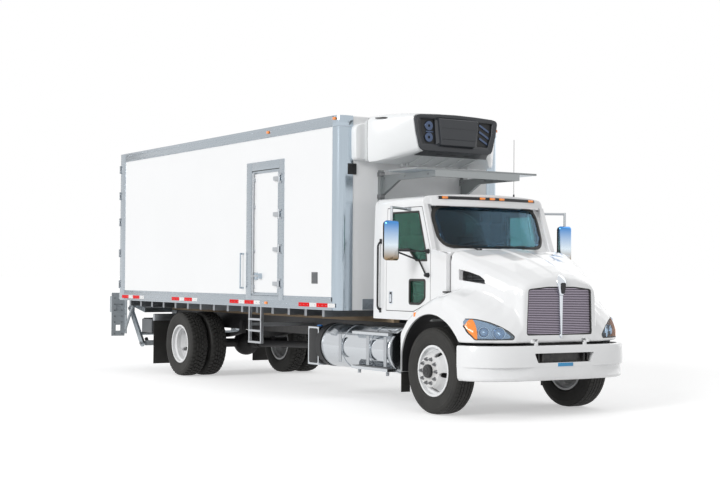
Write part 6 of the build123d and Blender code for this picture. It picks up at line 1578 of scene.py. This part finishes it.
# ---------------------------------------------------------------- work platform over the cab
# Mill-finish aluminium deck on extruded beams, bolted to two posts on the box's front wall.
# The bare metal is grey and softly brushed by the mill's rollers, and duller on the beams.
deck_aluminium = metal("mill_finish_deck", "#BCC5CC", 0.36, scale=26.0, spread=0.1, bump_mm=0.3, tint=0.08)
beam_aluminium = metal("extruded_beam_dull", "#9EA2A3", 0.46, scale=30.0, spread=0.12, bump_mm=0.3, tint=0.08)
dress(["roof_platform"], beam_aluminium)
deck_front_x = axle_x - 0.603
deck = [bar((deck_front_x - 0.62, -0.94, 2.8925), (deck_front_x, 0.94, 2.9175), 0.003)]
for step in range(21):
    y = -0.9 + step * 0.09
    deck.append(bar((deck_front_x - 0.6, y - 0.003, 2.915), (deck_front_x - 0.02, y + 0.003, 2.918), 0.001, 1))
finish(deck, "platform_deck_planks", deck_aluminium)
clamps = []
for side, side_name in sides:
    for z in (2.905, 2.62):
        clamps.append(bar((box_front_x - 0.002, side * 0.632, z - 0.03),
                          (box_front_x + 0.074, side * 0.706, z + 0.03), 0.006))
    for x_set, z in ((0.03, 2.86), (0.1, 2.855), (0.56, 2.855), (1.05, 2.855)):
        clamps.append(round_bar((box_front_x + x_set, side * 0.612, z), (box_front_x + x_set, side * 0.668, z),
                                0.009, 6))
finish(clamps, "platform_clamps_and_bolts", zinc_nut)

# ---------------------------------------------------------------- tail lift
# Hot-dip galvanised steel: end plates, arms, cross tubes and a folding platform with a tread surface.
# The pump box is black with a grey lid; rubber dock bumpers stand on the end plates.
galvanised = metal("hot_dip_galvanised", "#A9B0B5", 0.45, scale=12.0, spread=0.16, bump_mm=0.3, tint=0.18)
pump_inside = ((box_rear_x + 0.165, -0.96, 0.585), (box_rear_x + 0.605, -0.4, 0.855))
lift_steel = painted("lift_frame_galvanised", "#A4ABB0", 0.42, dust_top=0.9, dust_most=0.35, inside=[pump_inside],
                     trim_and_shade_colour="#1C1D1F")
dress(["liftgate_frame"], lift_steel)
dress(["liftgate_arms", "liftgate_carrier", "liftgate_platform"], galvanised)
plate_x = box_rear_x - 0.375
details = []
for side, side_name in sides:
    details.append(bar((plate_x - 0.04, side * (box_half - 0.238), 0.932),
                       (plate_x - 0.002, side * (box_half - 0.004), 1.208), 0.01, 3))
finish(details, "dock_bumpers", rubber("dock_bumper_rubber", "#1A1A1C", 120.0))
bolts = []
for side, side_name in sides:
    for y_in in (0.055, 0.19):
        for z in (0.965, 1.07, 1.175, 0.56, 0.76, 0.86):
            y = side * (box_half - y_in)
            far = -0.0405 if z > 0.93 else -0.009
            bolts.append(round_bar((plate_x + far + 0.003, y, z), (plate_x + 0.018, y, z), 0.011, 6))
    for z in (0.62, 0.9, 1.16):
        bolts.append(round_bar((plate_x + 0.05, side * (box_half - 0.268), z),
                               (plate_x + 0.05, side * (box_half - 0.236), z), 0.01, 6))
finish(bolts, "lift_frame_bolts", zinc_nut)
lamps = []
for side, side_name in sides:
    for z in (0.835, 0.765):
        lamp = turned([(0.0, 0.0), (0.03, 0.0), (0.03, 0.006), (0.024, 0.011), (0.0, 0.013)], 28)
        lamps.append(put(lamp, at(plate_x + 0.001, side * (box_half - 0.12), z) @ Matrix.Rotation(pi / 2, 4, "Z")))
finish(lamps, "lift_frame_lamps", red_lens)
lid = bar((box_rear_x + 0.185, -0.968, 0.604), (box_rear_x + 0.585, -0.9295, 0.836), 0.01, 3)
finish(lid, "pump_box_lid", vent_grey)
tread = []
arm_plane = box_half - 0.32
fold_z = 1.07
tip_x = box_rear_x - 0.27
for step in range(17):
    y = -0.88 + step * 0.11
    tread.append(round_bar((tip_x - 0.01, y, fold_z + 0.041), (tip_x + 0.44, y, fold_z - 0.049), 0.0022, 6))
finish(tread, "lift_platform_tread", galvanised, "lift_platform")
rams = []
for side, side_name in sides:
    start = Vector((box_rear_x + 0.23, side * (arm_plane - 0.1), 0.42))
    way = Vector((tip_x, start.y, 1.0)) - start
    rams.append(round_bar(start + way * 0.06, start + way * 0.13, 0.03, 24))
finish(rams, "lift_arm_bosses", iron_paint, "lift_arms")
cross_bolts = []
for side, side_name in sides:
    for x, z in ((box_rear_x + 0.23, 0.42), (tip_x, 1.0)):
        cap = turned([(0.0, 0.0), (0.026, 0.0), (0.026, 0.004), (0.02, 0.007), (0.0, 0.007)], 24)
        cross_bolts.append(put(cap, at(x, side * (arm_plane + 0.0405), z) @ Matrix.Scale(side, 4, (0, 1, 0))))
finish(cross_bolts, "lift_arm_pin_caps", zinc_nut, "lift_arms")

# ---------------------------------------------------------------- seats
# Two sprung cab seats in dark grey woven cloth over foam: a cushion, a back and a head restraint each.
# The cloth is matt with a grain of fine threads, and the pedestals are black enamelled steel.
cloth = moulded("woven_seat_cloth", "#2F3338", 0.9, grain=420.0, depth_mm=0.5)


def cushion(low, high, crown):
    """A crowned cushion: a box with a grooved pillow's bulge, brought to soft edges by subdivision."""
    piece = only(bar(low, high, 0.0))
    edit(lambda: bpy.ops.mesh.subdivide(number_cuts=5))
    middle = (Vector(low) + Vector(high)) / 2
    reach = (Vector(high) - Vector(low)) / 2
    thin = min(range(3), key=lambda axis: reach[axis])
    others = [axis for axis in range(3) if axis != thin]
    for vertex in piece.data.vertices:
        share = [(vertex.co[axis] - middle[axis]) / reach[axis] for axis in range(3)]
        bulge = (1 - share[others[0]] ** 2) * (1 - share[others[1]] ** 2)
        vertex.co[thin] += share[thin] * crown * bulge
        groove = 0.006 * max(0.0, cos(share[others[0]] * pi * 2.5)) * abs(share[thin]) * bulge
        vertex.co[thin] -= groove * (1 if share[thin] > 0 else -1)
    modify(piece, "SUBSURF", levels=2, render_levels=2)
    bpy.ops.object.shade_smooth()
    return piece


seat_low, seat_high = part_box("seats")
seat_pieces = []
seat_top = seat_high.z
base_z = seat_low.z
seat_front_x = seat_high.x
seat_rear_x = seat_low.x
bases = []
for side, side_name in sides:
    near_y, far_y = sorted((side * 0.21, side * 0.66))
    seat_pieces.append(cushion((seat_front_x - 0.5, near_y, base_z + 0.26),
                               (seat_front_x - 0.01, far_y, base_z + 0.41), 0.015))
    seat_pieces.append(cushion((seat_rear_x + 0.03, near_y, base_z + 0.36),
                               (seat_rear_x + 0.15, far_y, seat_top - 0.2), 0.02))
    middle_y = (near_y + far_y) / 2
    seat_pieces.append(cushion((seat_rear_x + 0.04, middle_y - 0.13, seat_top - 0.19),
                               (seat_rear_x + 0.13, middle_y + 0.13, seat_top - 0.01), 0.012))
    bases.append(bar((seat_front_x - 0.44, middle_y - 0.16, base_z),
                     (seat_front_x - 0.08, middle_y + 0.16, base_z + 0.255), 0.02, 3))
seat_covers = finish(seat_pieces, "seat_cushions", cloth)
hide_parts("seats")
finish(bases, "seat_pedestals", wiper_black)

# ---------------------------------------------------------------- dashboard and steering wheel
# Grey-blue soft-touch moulding across the cab, and a two-spoke steering wheel in the same colour on
# the left.
dash_grey = moulded("dash_soft_touch", "#3A4650", 0.65, grain=300.0, depth_mm=0.3)
dress(["dashboard"], dash_grey)
